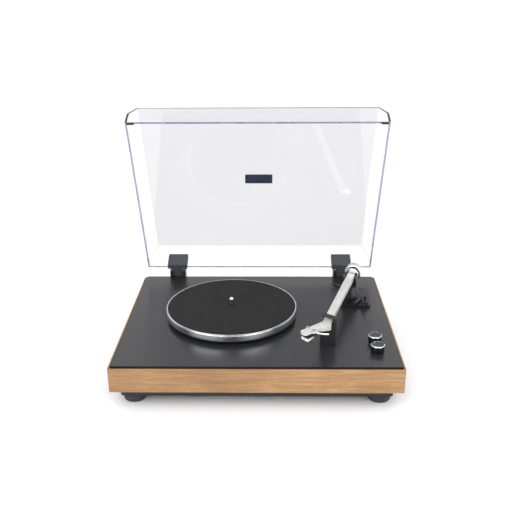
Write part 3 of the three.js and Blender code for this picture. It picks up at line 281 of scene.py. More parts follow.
def makeAcrylic(name, tint, rough, clear=1.0):
    s = castAcrylic
    material, tree = newMaterial(name)
    smear = addNode(tree, "ShaderNodeTexNoise", {
        "Vector": stretched(tree, (1, 0.4, 0.4)), "Scale": perMetre(s["smear"]),
    }, "Fac")
    return finishMaterial(material, tree, **{
        "Base Color": linear(tint), "IOR": s["ior"], "Transmission Weight": clear,
        "Roughness": addNode(tree, "ShaderNodeMapRange", {
            "Value": smear, **noiseSpan, "To Min": rough[0], "To Max": rough[1],
        }, 0),
    })


finishes = {name: makeSkin(name) for name in skins}
finishes.update({name: makeMetal(name) for name in metals})
finishes["oakAlongX"] = makeOak("oakAlongX", 0)
finishes["oakAlongY"] = makeOak("oakAlongY", 1)
finishes["silverLacquer"] = makeSilverLacquer()
finishes["woolFelt"] = makeFelt()
finishes["clearAcrylic"] = makeAcrylic("clearAcrylic", castAcrylic["clear"], castAcrylic["roughness"])
# the top panel's greyer tint is painted shade; the sheet itself is one even clear
finishes["acrylicRoofPaintedShade"] = makeAcrylic("acrylicRoofPaintedShade", castAcrylic["roofShade"], castAcrylic["roughness"])
finishes["acrylicEdge"] = makeAcrylic("acrylicEdge", castAcrylic["edge"], (0.2, 0.35), 0.45)
print("materials made:", len(finishes))


# making meshes
def newPiece(name, mesh, *finishNames):
    for finish in finishNames:
        mesh.materials.append(finishes[finish])
    piece = bpy.data.objects.new(name, mesh)
    bpy.context.scene.collection.objects.link(piece)
    return piece


# The piece with its modifiers applied, as a plain mesh on the same object.
def bake(piece):
    bpy.context.view_layer.update()
    mesh = bpy.data.meshes.new_from_object(piece.evaluated_get(bpy.context.evaluated_depsgraph_get()))
    piece.modifiers.clear()
    piece.data = mesh
    return piece


def smooth(mesh, angle=32):
    mesh.polygons.foreach_set("use_smooth", [True] * len(mesh.polygons))
    mesh.set_sharp_from_angle(angle=math.radians(angle))


# piece stands for these nodes: it rides where the first one does, and the nodes are hidden.
def place(piece, *nodes):
    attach(piece, bodyOfNode[nodes[0]])
    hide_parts(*nodes)
    return piece


# piece is an extra that goes wherever this node goes.
def addTo(piece, node):
    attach(piece, bodyOfNode[node])
    return piece


# A copy of the node with its flats joined and its edges rounded by edge millimetres.
def softened(node, finish, edge):
    mesh = frame["nodes"][node].data.copy()
    mesh.materials.clear()
    shape = bmesh.new()
    shape.from_mesh(mesh)
    bmesh.ops.remove_doubles(shape, verts=shape.verts, dist=0.002 * mm)
    bmesh.ops.dissolve_limit(shape, angle_limit=math.radians(0.6), verts=shape.verts, edges=shape.edges)
    bmesh.ops.dissolve_degenerate(shape, dist=0.01 * mm, edges=shape.edges)
    shape.to_mesh(mesh)
    shape.free()
    piece = newPiece(node + "_finished", mesh, finish)
    rounding = piece.modifiers.new("edges", "BEVEL")
    rounding.width = edge * mm
    rounding.segments = 2
    rounding.limit_method = "ANGLE"
    rounding.angle_limit = math.radians(34)
    rounding.use_clamp_overlap = True
    piece.data.polygons.foreach_set("use_smooth", [True] * len(piece.data.polygons))
    flats = piece.modifiers.new("flats", "WEIGHTED_NORMAL")
    flats.weight = 100
    bake(piece)
    return piece


# A [radius, height] outline with its corners rounded, save where it starts and ends.
def rounded(profile, radius, steps=4):
    points = [Vector(p) for p in profile]
    out = [points[0]]
    for before, corner, after in zip(points, points[1:], points[2:]):
        inward, outward = before - corner, after - corner
        reach = min(radius, inward.length * 0.45, outward.length * 0.45)
        start = corner + inward.normalized() * reach
        end = corner + outward.normalized() * reach
        for i in range(steps + 1):
            t = i / steps
            out.append(start * (1 - t) ** 2 + corner * 2 * t * (1 - t) + end * t ** 2)
    return out + [points[-1]]


# A lathe piece. profile is [radius, height] in millimetres along axis from origin.
def turned(name, profile, finish, origin, axis=(0, 0, 1), radius=0.3, sides=128, steps=4, closed=False):
    line = rounded(profile + profile[:2], radius, steps)[1:-1] if closed else rounded(profile, radius, steps)
    shape = bmesh.new()
    rings = []
    for r, h in line:
        if r < 1e-6:
            rings.append([shape.verts.new((0, 0, h * mm))])
            continue
        angles = [2 * math.pi * i / sides for i in range(sides)]
        rings.append([shape.verts.new((r * mm * math.cos(a), r * mm * math.sin(a), h * mm)) for a in angles])
    pairs = list(zip(rings, rings[1:])) + ([(rings[-1], rings[0])] if closed else [])
    for low, high in pairs:
        if len(low) == len(high) == 1:
            continue
        for i in range(sides):
            k = (i + 1) % sides
            corners = [low[i % len(low)], low[k % len(low)], high[k % len(high)], high[i % len(high)]]
            shape.faces.new(list(dict.fromkeys(corners)))
    bmesh.ops.remove_doubles(shape, verts=shape.verts, dist=0.001 * mm)
    bmesh.ops.recalc_face_normals(shape, faces=shape.faces)
    mesh = bpy.data.meshes.new(name)
    shape.to_mesh(mesh)
    shape.free()
    turn = Vector((0, 0, 1)).rotation_difference(Vector(axis)).to_matrix().to_4x4()
    mesh.transform(Matrix.Translation(origin) @ turn)
    smooth(mesh)
    return newPiece(name, mesh, finish)


def middle(node):
    low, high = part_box(node)
    return (low + high) / 2


# Where a turned node starts and ends along axis from origin, and its radius, in millimetres.
def reach(node, origin, axis):
    axis = Vector(axis).normalized()
    along, out = [], []
    for vertex in frame["nodes"][node].data.vertices:
        offset = vertex.co - Vector(origin)
        along.append(offset.dot(axis) / mm)
        out.append((offset - axis * offset.dot(axis)).length / mm)
    return min(along), max(along), max(out)


# trees that repeat a small shape
def newTree(name, sockets):
    tree = bpy.data.node_groups.new(name, "GeometryNodeTree")
    tree.interface.new_socket("Geometry", in_out="INPUT", socket_type="NodeSocketGeometry")
    for label, kind in sockets:
        tree.interface.new_socket(label, in_out="INPUT", socket_type=kind)
    tree.interface.new_socket("Geometry", in_out="OUTPUT", socket_type="NodeSocketGeometry")
    return tree, addNode(tree, "NodeGroupInput").outputs


def endTree(tree, geometry, material):
    real = addNode(tree, "GeometryNodeRealizeInstances", {"Geometry": geometry})
    painted = addNode(tree, "GeometryNodeSetMaterial", {"Geometry": real.outputs[0], "Material": material})
    addNode(tree, "NodeGroupOutput", {"Geometry": painted.outputs[0]})
    return tree


def makeRibTree():
    tree, given = newTree("ribsRoundAnAxis", [
        ("Count", "NodeSocketInt"), ("Radius", "NodeSocketFloat"), ("Rib Depth", "NodeSocketFloat"),
        ("Rib Width", "NodeSocketFloat"), ("Rib Length", "NodeSocketFloat"), ("Material", "NodeSocketMaterial"),
    ])
    circle = addNode(tree, "GeometryNodeMeshCircle", {"Vertices": given["Count"], "Radius": given["Radius"]})
    size = addNode(tree, "ShaderNodeCombineXYZ", {
        "X": given["Rib Depth"], "Y": given["Rib Width"], "Z": given["Rib Length"],
    })
    rib = addNode(tree, "GeometryNodeMeshCube", {"Size": size.outputs[0]})
    spot = addNode(tree, "GeometryNodeInputPosition")
    outward = addNode(tree, "FunctionNodeAlignRotationToVector", {"Vector": spot.outputs[0]}, axis="X")
    copies = addNode(tree, "GeometryNodeInstanceOnPoints", {
        "Points": circle.outputs[0], "Instance": rib.outputs[0], "Rotation": outward.outputs[0],
    })
    return endTree(tree, copies.outputs[0], given["Material"])


def makeScrewTree():
    tree, given = newTree("screwsOnPoints", [
        ("Head", "NodeSocketObject"), ("Seed", "NodeSocketInt"), ("Material", "NodeSocketMaterial"),
    ])
    head = addNode(tree, "GeometryNodeObjectInfo", {"Object": given["Head"]})
    turn = addNode(tree, "FunctionNodeRandomValue", {2: 0.0, 3: 2 * math.pi, "Seed": given["Seed"]},
                   data_type="FLOAT")
    spin = addNode(tree, "ShaderNodeCombineXYZ", {"Z": turn.outputs[1]})
    copies = addNode(tree, "GeometryNodeInstanceOnPoints", {
        "Points": given["Geometry"], "Instance": head.outputs["Geometry"], "Rotation": spin.outputs[0],
    })
    return endTree(tree, copies.outputs[0], given["Material"])


def makeFibreTree():
    tree, given = newTree("looseFibres", [
        ("Density", "NodeSocketFloat"), ("Length", "NodeSocketFloat"), ("Thickness", "NodeSocketFloat"),
        ("Seed", "NodeSocketInt"), ("Material", "NodeSocketMaterial"),
    ])
    spots = addNode(tree, "GeometryNodeDistributePointsOnFaces", {
        "Mesh": given["Geometry"], "Density": given["Density"], "Seed": given["Seed"],
    })
    end = addNode(tree, "ShaderNodeCombineXYZ", {"X": given["Length"]})
    half = addNode(tree, "ShaderNodeMath", {0: given["Length"], 1: 0.5}, operation="MULTIPLY").outputs[0]
    top = addNode(tree, "ShaderNodeMath", {0: given["Length"], 1: 0.3}, operation="MULTIPLY").outputs[0]
    crown = addNode(tree, "ShaderNodeCombineXYZ", {"X": half, "Z": top})
    hair = addNode(tree, "GeometryNodeCurveQuadraticBezier", {
        "Resolution": 3, "Start": (0, 0, 0), "Middle": crown.outputs[0], "End": end.outputs[0],
    })
    section = addNode(tree, "GeometryNodeCurvePrimitiveCircle", {"Resolution": 3, "Radius": given["Thickness"]})
    solid = addNode(tree, "GeometryNodeCurveToMesh", {
        "Curve": hair.outputs[0], "Profile Curve": section.outputs[0], "Fill Caps": True,
    })
    low, high = (-0.1, -0.1, 0.0), (0.1, 0.1, 2 * math.pi)
    turn = addNode(tree, "FunctionNodeRandomValue", {0: low, 1: high, "Seed": given["Seed"]},
                   data_type="FLOAT_VECTOR")
    copies = addNode(tree, "GeometryNodeInstanceOnPoints", {
        "Points": spots.outputs[0], "Instance": solid.outputs[0], "Rotation": turn.outputs[0],
    })
    return endTree(tree, copies.outputs[0], given["Material"])


trees = {"ribs": makeRibTree(), "screws": makeScrewTree(), "fibres": makeFibreTree()}


# A plain mesh grown by one of the trees from mesh, then put in its place.
def grown(name, mesh, treeName, values, matrix=None):
    base = newPiece(name, mesh)
    modifier = base.modifiers.new(treeName, "NODES")
    modifier.node_group = trees[treeName]
    sockets = {item.name: item.identifier for item in trees[treeName].interface.items_tree
               if item.in_out == "INPUT"}
    for label, value in values.items():
        modifier[sockets[label]] = value
    bake(base)
    if matrix:
        base.data.transform(matrix)
    return base


def along(origin, axis):
    turn = Vector((0, 0, 1)).rotation_difference(Vector(axis)).to_matrix().to_4x4()
    return Matrix.Translation(origin) @ turn


def ribbed(name, node, origin, axis, count, radius, depth, width, length, finish):
    values = {"Count": count, "Radius": radius * mm, "Rib Depth": depth * mm, "Rib Width": width * mm,
              "Rib Length": length * mm, "Material": finishes[finish]}
    return addTo(grown(name, bpy.data.meshes.new(name), "ribs", values, along(origin, axis)), node)


# plinth, deck and everything on them that only needs its edges eased
easedNodes = {
    "front_panel": ("oakAlongX", 0.5), "rear_panel": ("oakAlongX", 0.5),
    "left_panel": ("oakAlongY", 0.5), "right_panel": ("oakAlongY", 0.5),
    "top_plate": ("satinLacquer", 0.35), "bottom_tray": ("mouldedAbs", 0.5),
    "amplifier_board": ("solderMask", 0.15), "terminal_plate": ("mouldedAbs", 0.3),
    "motor_bracket": ("zincSteel", 0.2), "volume_potentiometer": ("zincSteel", 0.25),
    "speed_switch": ("zincSteel", 0.25), "drive_belt": ("beltRubber", 0.12),
    "tonearm_base": ("mouldedAbs", 0.3), "cue_lever": ("mouldedAbs", 0.3),
    "lift_platform": ("mouldedAbs", 0.3), "gimbal_yoke": ("mouldedAbs", 0.4),
    "tonearm": ("silverLacquer", 0.7), "cartridge": ("mouldedAbs", 0.35),
    "stylus_holder": ("whitePolystyrene", 0.3), "stylus": ("turnedAluminium", 0.03),
    "finger_lift": ("whitePolystyrene", 0.25),
    "arm_rest_post": ("mouldedAbs", 0.5), "arm_rest_clip": ("mouldedAbs", 0.35),
    "badge_plate": ("navyLacquer", 0.25),
    "cover_bumper_left": ("feetRubber", 0.5), "cover_bumper_right": ("feetRubber", 0.5),
    # the hinge clamps' lighter grey colour is painted sheen
    "hinge_clamp_left": ("texturedAbsPaintedSheen", 0.5), "hinge_clamp_right": ("texturedAbsPaintedSheen", 0.5),
    "hinge_base_left": ("mouldedAbs", 0.5), "hinge_base_right": ("mouldedAbs", 0.5),
}


def makeEasedPieces():
    for node, (finish, edge) in easedNodes.items():
        place(softened(node, finish, edge), node)
    print("eased pieces:", len(easedNodes))


# platter, mat and spindle
platterSettings = dict(
    bore=3.8, hub=20, hubDrop=3, ring=60, ringWall=4, recess=1.5, web=5.2, rimWall=6, rimHeight=11.4, lip=1.9,
    foot=0.4, footRise=(1.2, 1.8), grooveDepth=0.35, groove=(2.2, 1.9, 1.6, 1.3), soften=0.45, sides=256,
)
spindleSettings = dict(shaft=3, pin=3.5, flange=9.9, flangeDrop=(15.5, 14.3), sides=64,
                       tip=[(3.5, 4.2), (3.3, 2.6), (2.4, 0.9), (1.2, 0.1), (0, 0)])  # radius, and how far down


def makePlatter():
    s = platterSettings
    low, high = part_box("platter")
    centre = middle("platter")
    origin = Vector((centre.x, centre.y, 0))
    radius, top, floor = (high.x - low.x) / 2 / mm, high.z / mm, low.z / mm
    recess = top - s["recess"]
    web = recess - s["web"]
    hubLow, rimLow = web - s["hubDrop"], top - s["rimHeight"]
    ringInner, rimInner, foot = s["ring"] - s["ringWall"], radius - s["rimWall"], radius - s["foot"]
    grooved = [[radius - depth, top - down] for depth, down in
               zip((0, s["grooveDepth"], s["grooveDepth"], 0), s["groove"])]
    profile = [
        [s["bore"], recess], [s["bore"], hubLow], [s["hub"], hubLow], [s["hub"], web], [ringInner, web],
        [ringInner, floor], [s["ring"], floor], [s["ring"], web], [rimInner, web], [rimInner, rimLow],
        [foot, rimLow], [foot, rimLow + s["footRise"][0]], [radius, rimLow + s["footRise"][1]], *grooved,
        [radius, top], [radius - s["lip"], top], [radius - s["lip"], recess],
    ]
    place(turned("platter_turned", profile, "turnedAluminium", origin, radius=s["soften"], sides=s["sides"],
                 closed=True), "platter")
    s = spindleSettings
    low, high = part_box("spindle")
    flangeLow, flangeHigh = [top - down for down in s["flangeDrop"]]
    stem = [
        [0, low.z / mm], [s["shaft"], low.z / mm], [s["shaft"], flangeLow], [s["flange"], flangeLow],
        [s["flange"], flangeHigh], [s["pin"], flangeHigh], *[[r, high.z / mm - down] for r, down in s["tip"]],
    ]
    place(turned("spindle_turned", stem, "chromePlate", origin, radius=0.5, sides=s["sides"]), "spindle")
    print("platter and spindle made")


matSettings = dict(hole=4.1, ripple=0.12, rippleSize=22, rings=46, sides=192, density=150000, fibre=0.9,
                   thickness=0.035, seed=7)


def makeMat():
    s = matSettings
    low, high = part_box("platter_mat")
    centre = middle("platter_mat")
    origin = Vector((centre.x, centre.y, 0))
    radius, bottom, top = (high.x - low.x) / 2 / mm, low.z / mm, high.z / mm
    hole = s["hole"]
    step = (radius - 1.2 - hole - 1.2) / s["rings"]
    face = [[radius - 1.2 - i * step, top] for i in range(s["rings"] + 1)]
    profile = [[hole, bottom], [radius, bottom], [radius, top - 0.8], [radius - 0.4, top - 0.15], *face,
               [hole + 0.4, top - 0.1], [hole, top - 0.7]]
    mat = turned("felt_mat", profile, "woolFelt", origin, radius=0.2, sides=s["sides"], steps=1, closed=True)
    for vertex in mat.data.vertices:
        if vertex.co.z > (top - 0.05) * mm:
            lump = noise.noise(vertex.co / (s["rippleSize"] * mm)) + 0.4 * noise.noise(vertex.co / (3 * mm))
            vertex.co.z -= s["ripple"] * mm * (0.5 + 0.5 * max(-1, min(1, lump)))
    place(mat, "platter_mat")
    bed = bpy.data.meshes.new("felt_bed")
    spots = bmesh.new()
    bmesh.ops.create_circle(spots, cap_ends=True, radius=(radius - 1.5) * mm, segments=96)
    spots.to_mesh(bed)
    spots.free()
    values = {"Density": float(s["density"]), "Length": s["fibre"] * mm, "Thickness": s["thickness"] * mm,
              "Seed": s["seed"], "Material": finishes["woolFelt"]}
    fibres = grown("felt_fibres", bed, "fibres", values,
                   Matrix.Translation(origin + Vector((0, 0, (top - s["ripple"] * 0.7) * mm))))
    addTo(fibres, "platter_mat")
    print("mat fibres, triangles:", len(fibres.data.polygons))


# knobs with their bright rings
knobSettings = dict(
    shaft=3, skirtLow=0.8, skirtHigh=1.6, skirtInset=(1.2, 0.2), ringWidth=0.9, clearance=0.3, bevel=1.1,
    crownEdge=0.35, dish=(0.6, 1.4), dishDepth=(0.2, 0.3), pointer=0.75, pointerAngle=148, pointerInset=2.6,
)


def makeKnobs():
    s = knobSettings
    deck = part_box("top_plate")[1].z / mm
    skirtLow, skirtHigh = deck + s["skirtLow"], deck + s["skirtHigh"]
    for kind in ("volume", "speed"):
        node, ring = kind + "_knob", kind + "_knob_ring"
        origin = Vector(joints[kind + "_turn"]["pos_m"])
        origin.z = 0
        bottom, top, radius = reach(node, origin, (0, 0, 1))
        crown = radius - s["ringWidth"] - 2 * s["clearance"]
        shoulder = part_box(ring)[0].z / mm - s["clearance"]
        profile = [
            [0, bottom], [s["shaft"], bottom], [s["shaft"], skirtLow], [radius - s["skirtInset"][0], skirtLow],
            [radius - s["skirtInset"][1], skirtHigh], [radius, shoulder], [crown, shoulder],
            [crown, top - s["crownEdge"]], [crown - s["dish"][0], top],
            [crown - s["dish"][1], top - s["dishDepth"][0]], [0, top - s["dishDepth"][1]],
        ]
        place(turned(node + "_turned", profile, "glossAbs", origin), node)
        low, high, outer = reach(ring, origin, (0, 0, 1))
        inner = crown + s["clearance"]
        bead = [[inner, low], [outer, low], [outer, high - s["bevel"]], [inner + 0.2, high - 0.05], [inner, high - 0.2]]
        place(turned(ring + "_turned", bead, "chromePlate", origin, radius=0.2, closed=True), ring)
        angle = math.radians(s["pointerAngle"])
        spot = origin + Vector((math.cos(angle), math.sin(angle), 0)) * (crown - s["pointerInset"]) * mm
        dot = [[0, top - 0.7], [s["pointer"], top - 0.7], [s["pointer"], top - 0.15], [0, top - 0.05]]
        addTo(turned(kind + "_pointer", dot, "whitePolystyrene", spot, radius=0.15, sides=24), node)
    print("knobs made")


# feet, with a fixing screw in each recess
footSettings = dict(
    chamfer=2, sole=2.2, recess=4, recessRadius=5, recessBevel=(0.8, 0.4), groove=0.9, grooveTops=(4, 3.4, 2.2),
    shoulder=3, soften=0.7, sides=72,
)


def makeFeet():
    s = footSettings
    heads = []
    for node in [f"foot_{row}_{side}" for row in ("front", "rear") for side in ("left", "right")]:
        centre = middle(node)
        origin = Vector((centre.x, centre.y, 0))
        high, radius = reach(node, origin, (0, 0, 1))[1:]
        grooveStart, grooveFloor, grooveEnd = [high - down for down in s["grooveTops"]]
        profile = [
            [0, s["recess"]], [s["recessRadius"], s["recess"]], [s["recessRadius"], s["recessBevel"][1]],
            [s["recessRadius"] + s["recessBevel"][0], 0], [radius - s["chamfer"], 0], [radius, s["sole"]],
            [radius, grooveStart], [radius - s["groove"], grooveFloor], [radius - s["groove"], grooveEnd],
            [radius - s["shoulder"], high], [0, high],
        ]
        place(turned(node + "_turned", profile, "feetRubber", origin, radius=s["soften"], sides=s["sides"]), node)
        heads.append(origin + Vector((0, 0, s["recess"] * mm)))
    return heads


# screws under the tray and beside the sockets
screwSettings = dict(radius=2.8, height=1.5, slot=0.6, slotDepth=0.7, trayInset=14, terminalInset=4, seed=11)


def makeScrewHead():
    s = screwSettings
    profile = [[0, 0], [s["radius"], 0], [s["radius"], 0.5], [s["radius"] * 0.8, s["height"] * 0.85],
               [s["radius"] * 0.4, s["height"]], [0, s["height"]]]
    head = turned("screw_head", profile, "zincSteel", (0, 0, 0), radius=0.2, sides=20, steps=2)
    for turn in (0, 90):
        cutter = bpy.data.meshes.new("slot")
        shape = bmesh.new()
        size = Matrix.Diagonal((3.4 * mm, s["slot"] * mm, 2 * s["slotDepth"] * mm, 1))
        lift = Matrix.Translation((0, 0, s["height"] * mm))
        bmesh.ops.create_cube(shape, size=1, matrix=lift @ Matrix.Rotation(math.radians(turn), 4, "Z") @ size)
        shape.to_mesh(cutter)
        shape.free()
        tool = newPiece(f"slot_{turn}", cutter)
        cross = head.modifiers.new("cross", "BOOLEAN")
        cross.operation = "DIFFERENCE"
        cross.object = tool
        cross.solver = "EXACT"
        bake(head)
        bpy.data.objects.remove(tool)
    return head


# Screws at points, with their heads looking along axis, that go where node goes.
def screwRow(name, points, axis, head, node):
    matrix = along((0, 0, 0), axis)
    mesh = bpy.data.meshes.new(name)
    mesh.from_pydata([matrix.inverted() @ Vector(p) for p in points], [], [])
    values = {"Head": head, "Seed": screwSettings["seed"], "Material": finishes["zincSteel"]}
    piece = addTo(grown(name, mesh, "screws", values, matrix), node)
    return piece


def makeScrews(footSpots):
    s = screwSettings
    head = makeScrewHead()
    screwRow("foot_screws", footSpots, (0, 0, -1), head, "bottom_tray")
    low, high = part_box("bottom_tray")
    inset = s["trayInset"] * mm
    xs = [low.x + inset, (low.x + high.x) / 2, high.x - inset]
    ys = [low.y + inset, high.y - inset]
    spots = [Vector((x, y, low.z)) for x in xs for y in ys]
    screwRow("tray_screws", spots, (0, 0, -1), head, "bottom_tray")
    low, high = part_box("terminal_plate")
    inset = s["terminalInset"] * mm
    spots = [Vector((x, high.y, z)) for x in (low.x + inset, high.x - inset) for z in (low.z + inset, high.z - inset)]
    screwRow("terminal_screws", spots, (0, 1, 0), head, "terminal_plate")
    bpy.data.objects.remove(head)
    print("screws made")


# sockets on the back
jackSettings = dict(nut=1.6, nutHeights=(0.2, 1.2, 1.4), lip=(0.1, 0.5), lipHeight=0.4, bore=3.3, boreFloor=2,
                    pin=1.8, pinFloor=1.6, pinShort=1.2, hole=1.2, holeFloor=0.6)
inletSettings = dict(edge=0.3, mouth=2.9, bore=2.7, mouthDepth=0.6, floor=-4.5, pin=0.9, pinTop=-0.6, tip=0.5,
                     tipTop=-0.2)
postSettings = dict(stem=3, gap=0.3, inset=0.5, capInset=1.1, capDepth=(1.4, 0.3), hole=(1.4, 1.2), holeDepth=2,
                    ribs=24, ribDepth=0.8, ribWidth=0.55, ribShort=2.6)


def makeSockets():
    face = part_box("terminal_plate")[1].y
    outwards = (0, 1, 0)
    s = jackSettings
    for node in ("line_out_jack_left", "line_out_jack_right"):
        centre = middle(node)
        origin = Vector((centre.x, face, centre.z))
        low, high, radius = reach(node, origin, outwards)
        nutLow, nutHigh, nutEnd = s["nutHeights"]
        tube = [
            [0, low], [radius, low], [radius, nutLow], [radius + s["nut"], nutLow], [radius + s["nut"], nutHigh],
            [radius, nutEnd], [radius - s["lip"][0], high - s["lipHeight"]], [radius - s["lip"][1], high],
            [s["bore"], high], [s["bore"], s["boreFloor"]], [s["pin"], s["pinFloor"]],
            [s["pin"], high - s["pinShort"]], [s["hole"], high - s["pinShort"]], [s["hole"], s["holeFloor"]],
            [0, s["holeFloor"]],
        ]
        place(turned(node + "_turned", tube, "chromePlate", origin, outwards, 0.2, 48), node)
    s = inletSettings
    node = "dc_inlet"
    centre = middle(node)
    origin = Vector((centre.x, face, centre.z))
    low, high, radius = reach(node, origin, outwards)
    barrel = [
        [0, low], [radius, low], [radius, high - s["edge"]], [radius - s["edge"], high], [s["mouth"], high],
        [s["bore"], high - s["mouthDepth"]], [s["bore"], s["floor"]], [s["pin"], s["floor"]],
        [s["pin"], s["pinTop"]], [s["tip"], s["tipTop"]], [0, s["tipTop"]],
    ]
    place(turned("dc_inlet_turned", barrel, "mouldedAbs", origin, outwards, 0.15, 48), node)
    s = postSettings
    for i in range(1, 5):
        node = f"speaker_terminal_{i}"
        centre = middle(node)
        origin = Vector((centre.x, face, centre.z))
        low, high, radius = reach(node, origin, outwards)
        finish = "glossAbs" if i % 2 else "redAbs"
        grip = radius - s["inset"]
        capLow, capHigh = [high - down for down in s["capDepth"]]
        post = [
            [0, low], [s["stem"], low], [s["stem"], s["gap"]], [grip, s["gap"]], [grip, capLow],
            [radius - s["capInset"], capHigh], [s["hole"][0], capHigh], [s["hole"][1], high - s["holeDepth"]],
            [0, high - s["holeDepth"]],
        ]
        place(turned(node + "_turned", post, finish, origin, outwards, 0.25, 48), node)
        spot = origin + Vector((0, (high - 0.8) / 2 * mm, 0))
        ribbed(f"post_ribs_{i}", node, spot, outwards, s["ribs"], grip, s["ribDepth"], s["ribWidth"],
               high - s["ribShort"], finish)
    print("sockets made")


# bearing, motor, pulley and pins, which are mostly out of sight
driveNodes = {
    "bearing_housing": ("turnedBrass", 0.3), "motor": ("zincSteel", 0.3), "motor_pulley": ("turnedBrass", 0.1),
}


cartridgeScrewSettings = dict(thread=1.25, headHeight=1.6, edge=0.5, socket=(0.9, 0.8), socketDepth=0.7)


def makeDrive():
    for node, (finish, edge) in driveNodes.items():
        place(softened(node, finish, edge), node)
    for node in ("hinge_pin_left", "hinge_pin_right"):
        centre = middle(node)
        low, high, radius = reach(node, centre, (1, 0, 0))
        pin = [[0, low], [radius, low], [radius, high], [0, high]]
        place(turned(node + "_turned", pin, "zincSteel", centre, (1, 0, 0), sides=32), node)
    s = cartridgeScrewSettings
    for node in ("cartridge_screw_inner", "cartridge_screw_outer"):
        centre = middle(node)
        origin = Vector((centre.x, centre.y, 0))
        low, high, radius = reach(node, origin, (0, 0, 1))
        seat, floor = high - s["headHeight"], high - s["socketDepth"]
        screw = [
            [0, low], [s["thread"], low], [s["thread"], seat], [radius, seat], [radius, high - s["edge"]],
            [radius - s["edge"], high], [s["socket"][0], high], [s["socket"][1], floor], [0, floor],
        ]
        place(turned(node + "_turned", screw, "zincSteel", origin, radius=0.15, sides=32), node)
    print("drive made")


# counterweight, its rod and the two dials
weightSettings = dict(bore=4.3, frontEdge=1, backEdge=1.2, band=(2.6, 3.0, 3.6, 4.0), bandDepth=0.5, boreEdge=0.6)
rodSettings = dict(pitch=1.2, threadDepth=0.35, plainEnd=1, chamfer=0.6)
forceDialSettings = dict(frontEdge=(1.4, 0.9), inset=0.5, backEdge=(0.8, 0.3), ribs=40, rib=0.8, ribShare=0.7)
skateDialSettings = dict(bearing=3.1, stem=1.2, edge=(0.7, 0.5), inset=0.3, ribs=20, rib=0.5, ribMiddle=4,
                         ribLength=6.5)


def makeBalance():
    pivot = Vector(joints["arm_swing"]["pos_m"])
    back = Vector(joints["counterweight_slide"]["axis"])
    s = weightSettings
    low, high, radius = reach("counterweight", pivot, back)
    bore, floor = s["bore"], radius - s["bandDepth"]
    band = [[r, low + along] for r, along in zip((radius, floor, floor, radius), s["band"])]
    weight = [
        [bore, low], [radius - s["frontEdge"], low], [radius, low + s["frontEdge"]], *band,
        [radius, high - s["backEdge"]], [radius - s["backEdge"], high], [bore + s["boreEdge"], high],
        [bore, high - s["boreEdge"]],
    ]
    place(turned("counterweight_turned", weight, "chromePlate", pivot, back, 0.4, closed=True), "counterweight")
    s = rodSettings
    low, high, radius = reach("counterweight_rod", pivot, back)
    rod = [[0, low], [radius, low]]
    for i in range(int((high - low - 2 * s["plainEnd"]) / s["pitch"])):
        start = low + s["plainEnd"] + i * s["pitch"]
        rod += [[radius, start], [radius - s["threadDepth"], start + s["pitch"] / 2]]
    rod += [[radius, high - s["chamfer"]], [radius - s["chamfer"], high], [0, high]]
    place(turned("counterweight_rod_turned", rod, "zincSteel", pivot, back, 0.1, 48, 2), "counterweight_rod")
    s = forceDialSettings
    low, high, radius = reach("tracking_force_dial", pivot, back)
    grip = radius - s["inset"]
    dial = [
        [bore, low], [radius - s["frontEdge"][0], low], [grip, low + s["frontEdge"][1]],
        [grip, high - s["backEdge"][1]], [radius - s["backEdge"][0], high], [bore, high],
    ]
    place(turned("tracking_force_dial_turned", dial, "chromePlate", pivot, back, 0.2, 96, closed=True),
          "tracking_force_dial")
    ribbed("force_dial_ribs", "tracking_force_dial", pivot + back * (low + high) / 2 * mm, back, s["ribs"], grip,
           s["rib"], s["rib"], (high - low) * s["ribShare"], "chromePlate")
    s = skateDialSettings
    origin, axis = [Vector(joints["anti_skate_turn"][key]) for key in ("pos_m", "axis")]
    low, high, radius = reach("anti_skate_dial", origin, axis)
    grip, end = radius - s["inset"], high - s["bearing"]
    knob = [
        [0, low], [radius - s["edge"][0], low], [grip, low + s["edge"][1]], [grip, end], [s["stem"], end],
        [s["stem"], high], [0, high],
    ]
    place(turned("anti_skate_dial_turned", knob, "mouldedAbs", origin, axis, 0.25, 48), "anti_skate_dial")
    ribbed("anti_skate_ribs", "anti_skate_dial", origin + axis * (low + s["ribMiddle"]) * mm, axis, s["ribs"], grip,
           s["rib"], s["rib"], s["ribLength"], "mouldedAbs")
    print("balance made")


# dust cover: one moulded shell, violet where its cut edge shows
coverSettings = dict(edge=0.9, edgeFinish=1, edgeDepth=1.2, roofShadeFinish=2)


def makeCover():
    s = coverSettings
    cover = softened("dust_cover", "clearAcrylic", s["edge"])
    cover.data.materials.append(finishes["acrylicEdge"])
    cover.data.materials.append(finishes["acrylicRoofPaintedShade"])
    hinge = joints["cover_hinge"]
    # The rim faces down when the cover is shut, and the CAD shows it open
    rimNormal = Matrix.Rotation(-math.radians(hinge["range_deg"][1]), 3, "X") @ Vector((0, 0, -1))
    axis = Vector(hinge["pos_m"])
    rim = min((v.co - axis).dot(-rimNormal) for v in cover.data.vertices)
    for face in cover.data.polygons:
        depth = (face.center - axis).dot(-rimNormal) - rim
        if face.normal.dot(rimNormal) > 0.5 and depth < s["edgeDepth"] * mm:
            face.material_index = s["edgeFinish"]
        # faces across the wide top panel take the greyer tint that is painted shade
        elif abs(face.normal.dot(rimNormal)) > 0.95:
            face.material_index = s["roofShadeFinish"]
    place(cover, "dust_cover")
    print("cover made")


# floor, light and camera
# Tones of the light tent's walls by bearing, in degrees from the front: a white box on each side of the front
studio = dict(
    floor="#f4f4f5", floorSize=80, scale=3.4, top=1.2, topFrom=0.72, topTo=0.92,
    walls=[(-180, 1.0), (-108, 1.0), (-86, 0.4), (-75, 0.4), (-66, 3.2), (-20, 3.2), (-12, 0.25), (14, 0.25),
           (31, 3.2), (67, 3.2), (76, 0.4), (86, 0.4), (108, 1.0), (180, 1.0)],
    key=0.4, keyTilt=28, keyTurn=-25, keySoftness=60,
)
view = dict(position=(0.01863, -1.0505, 0.57577), pitch=21.593, yaw=-1.049, roll=-0.344, lens=49.34)


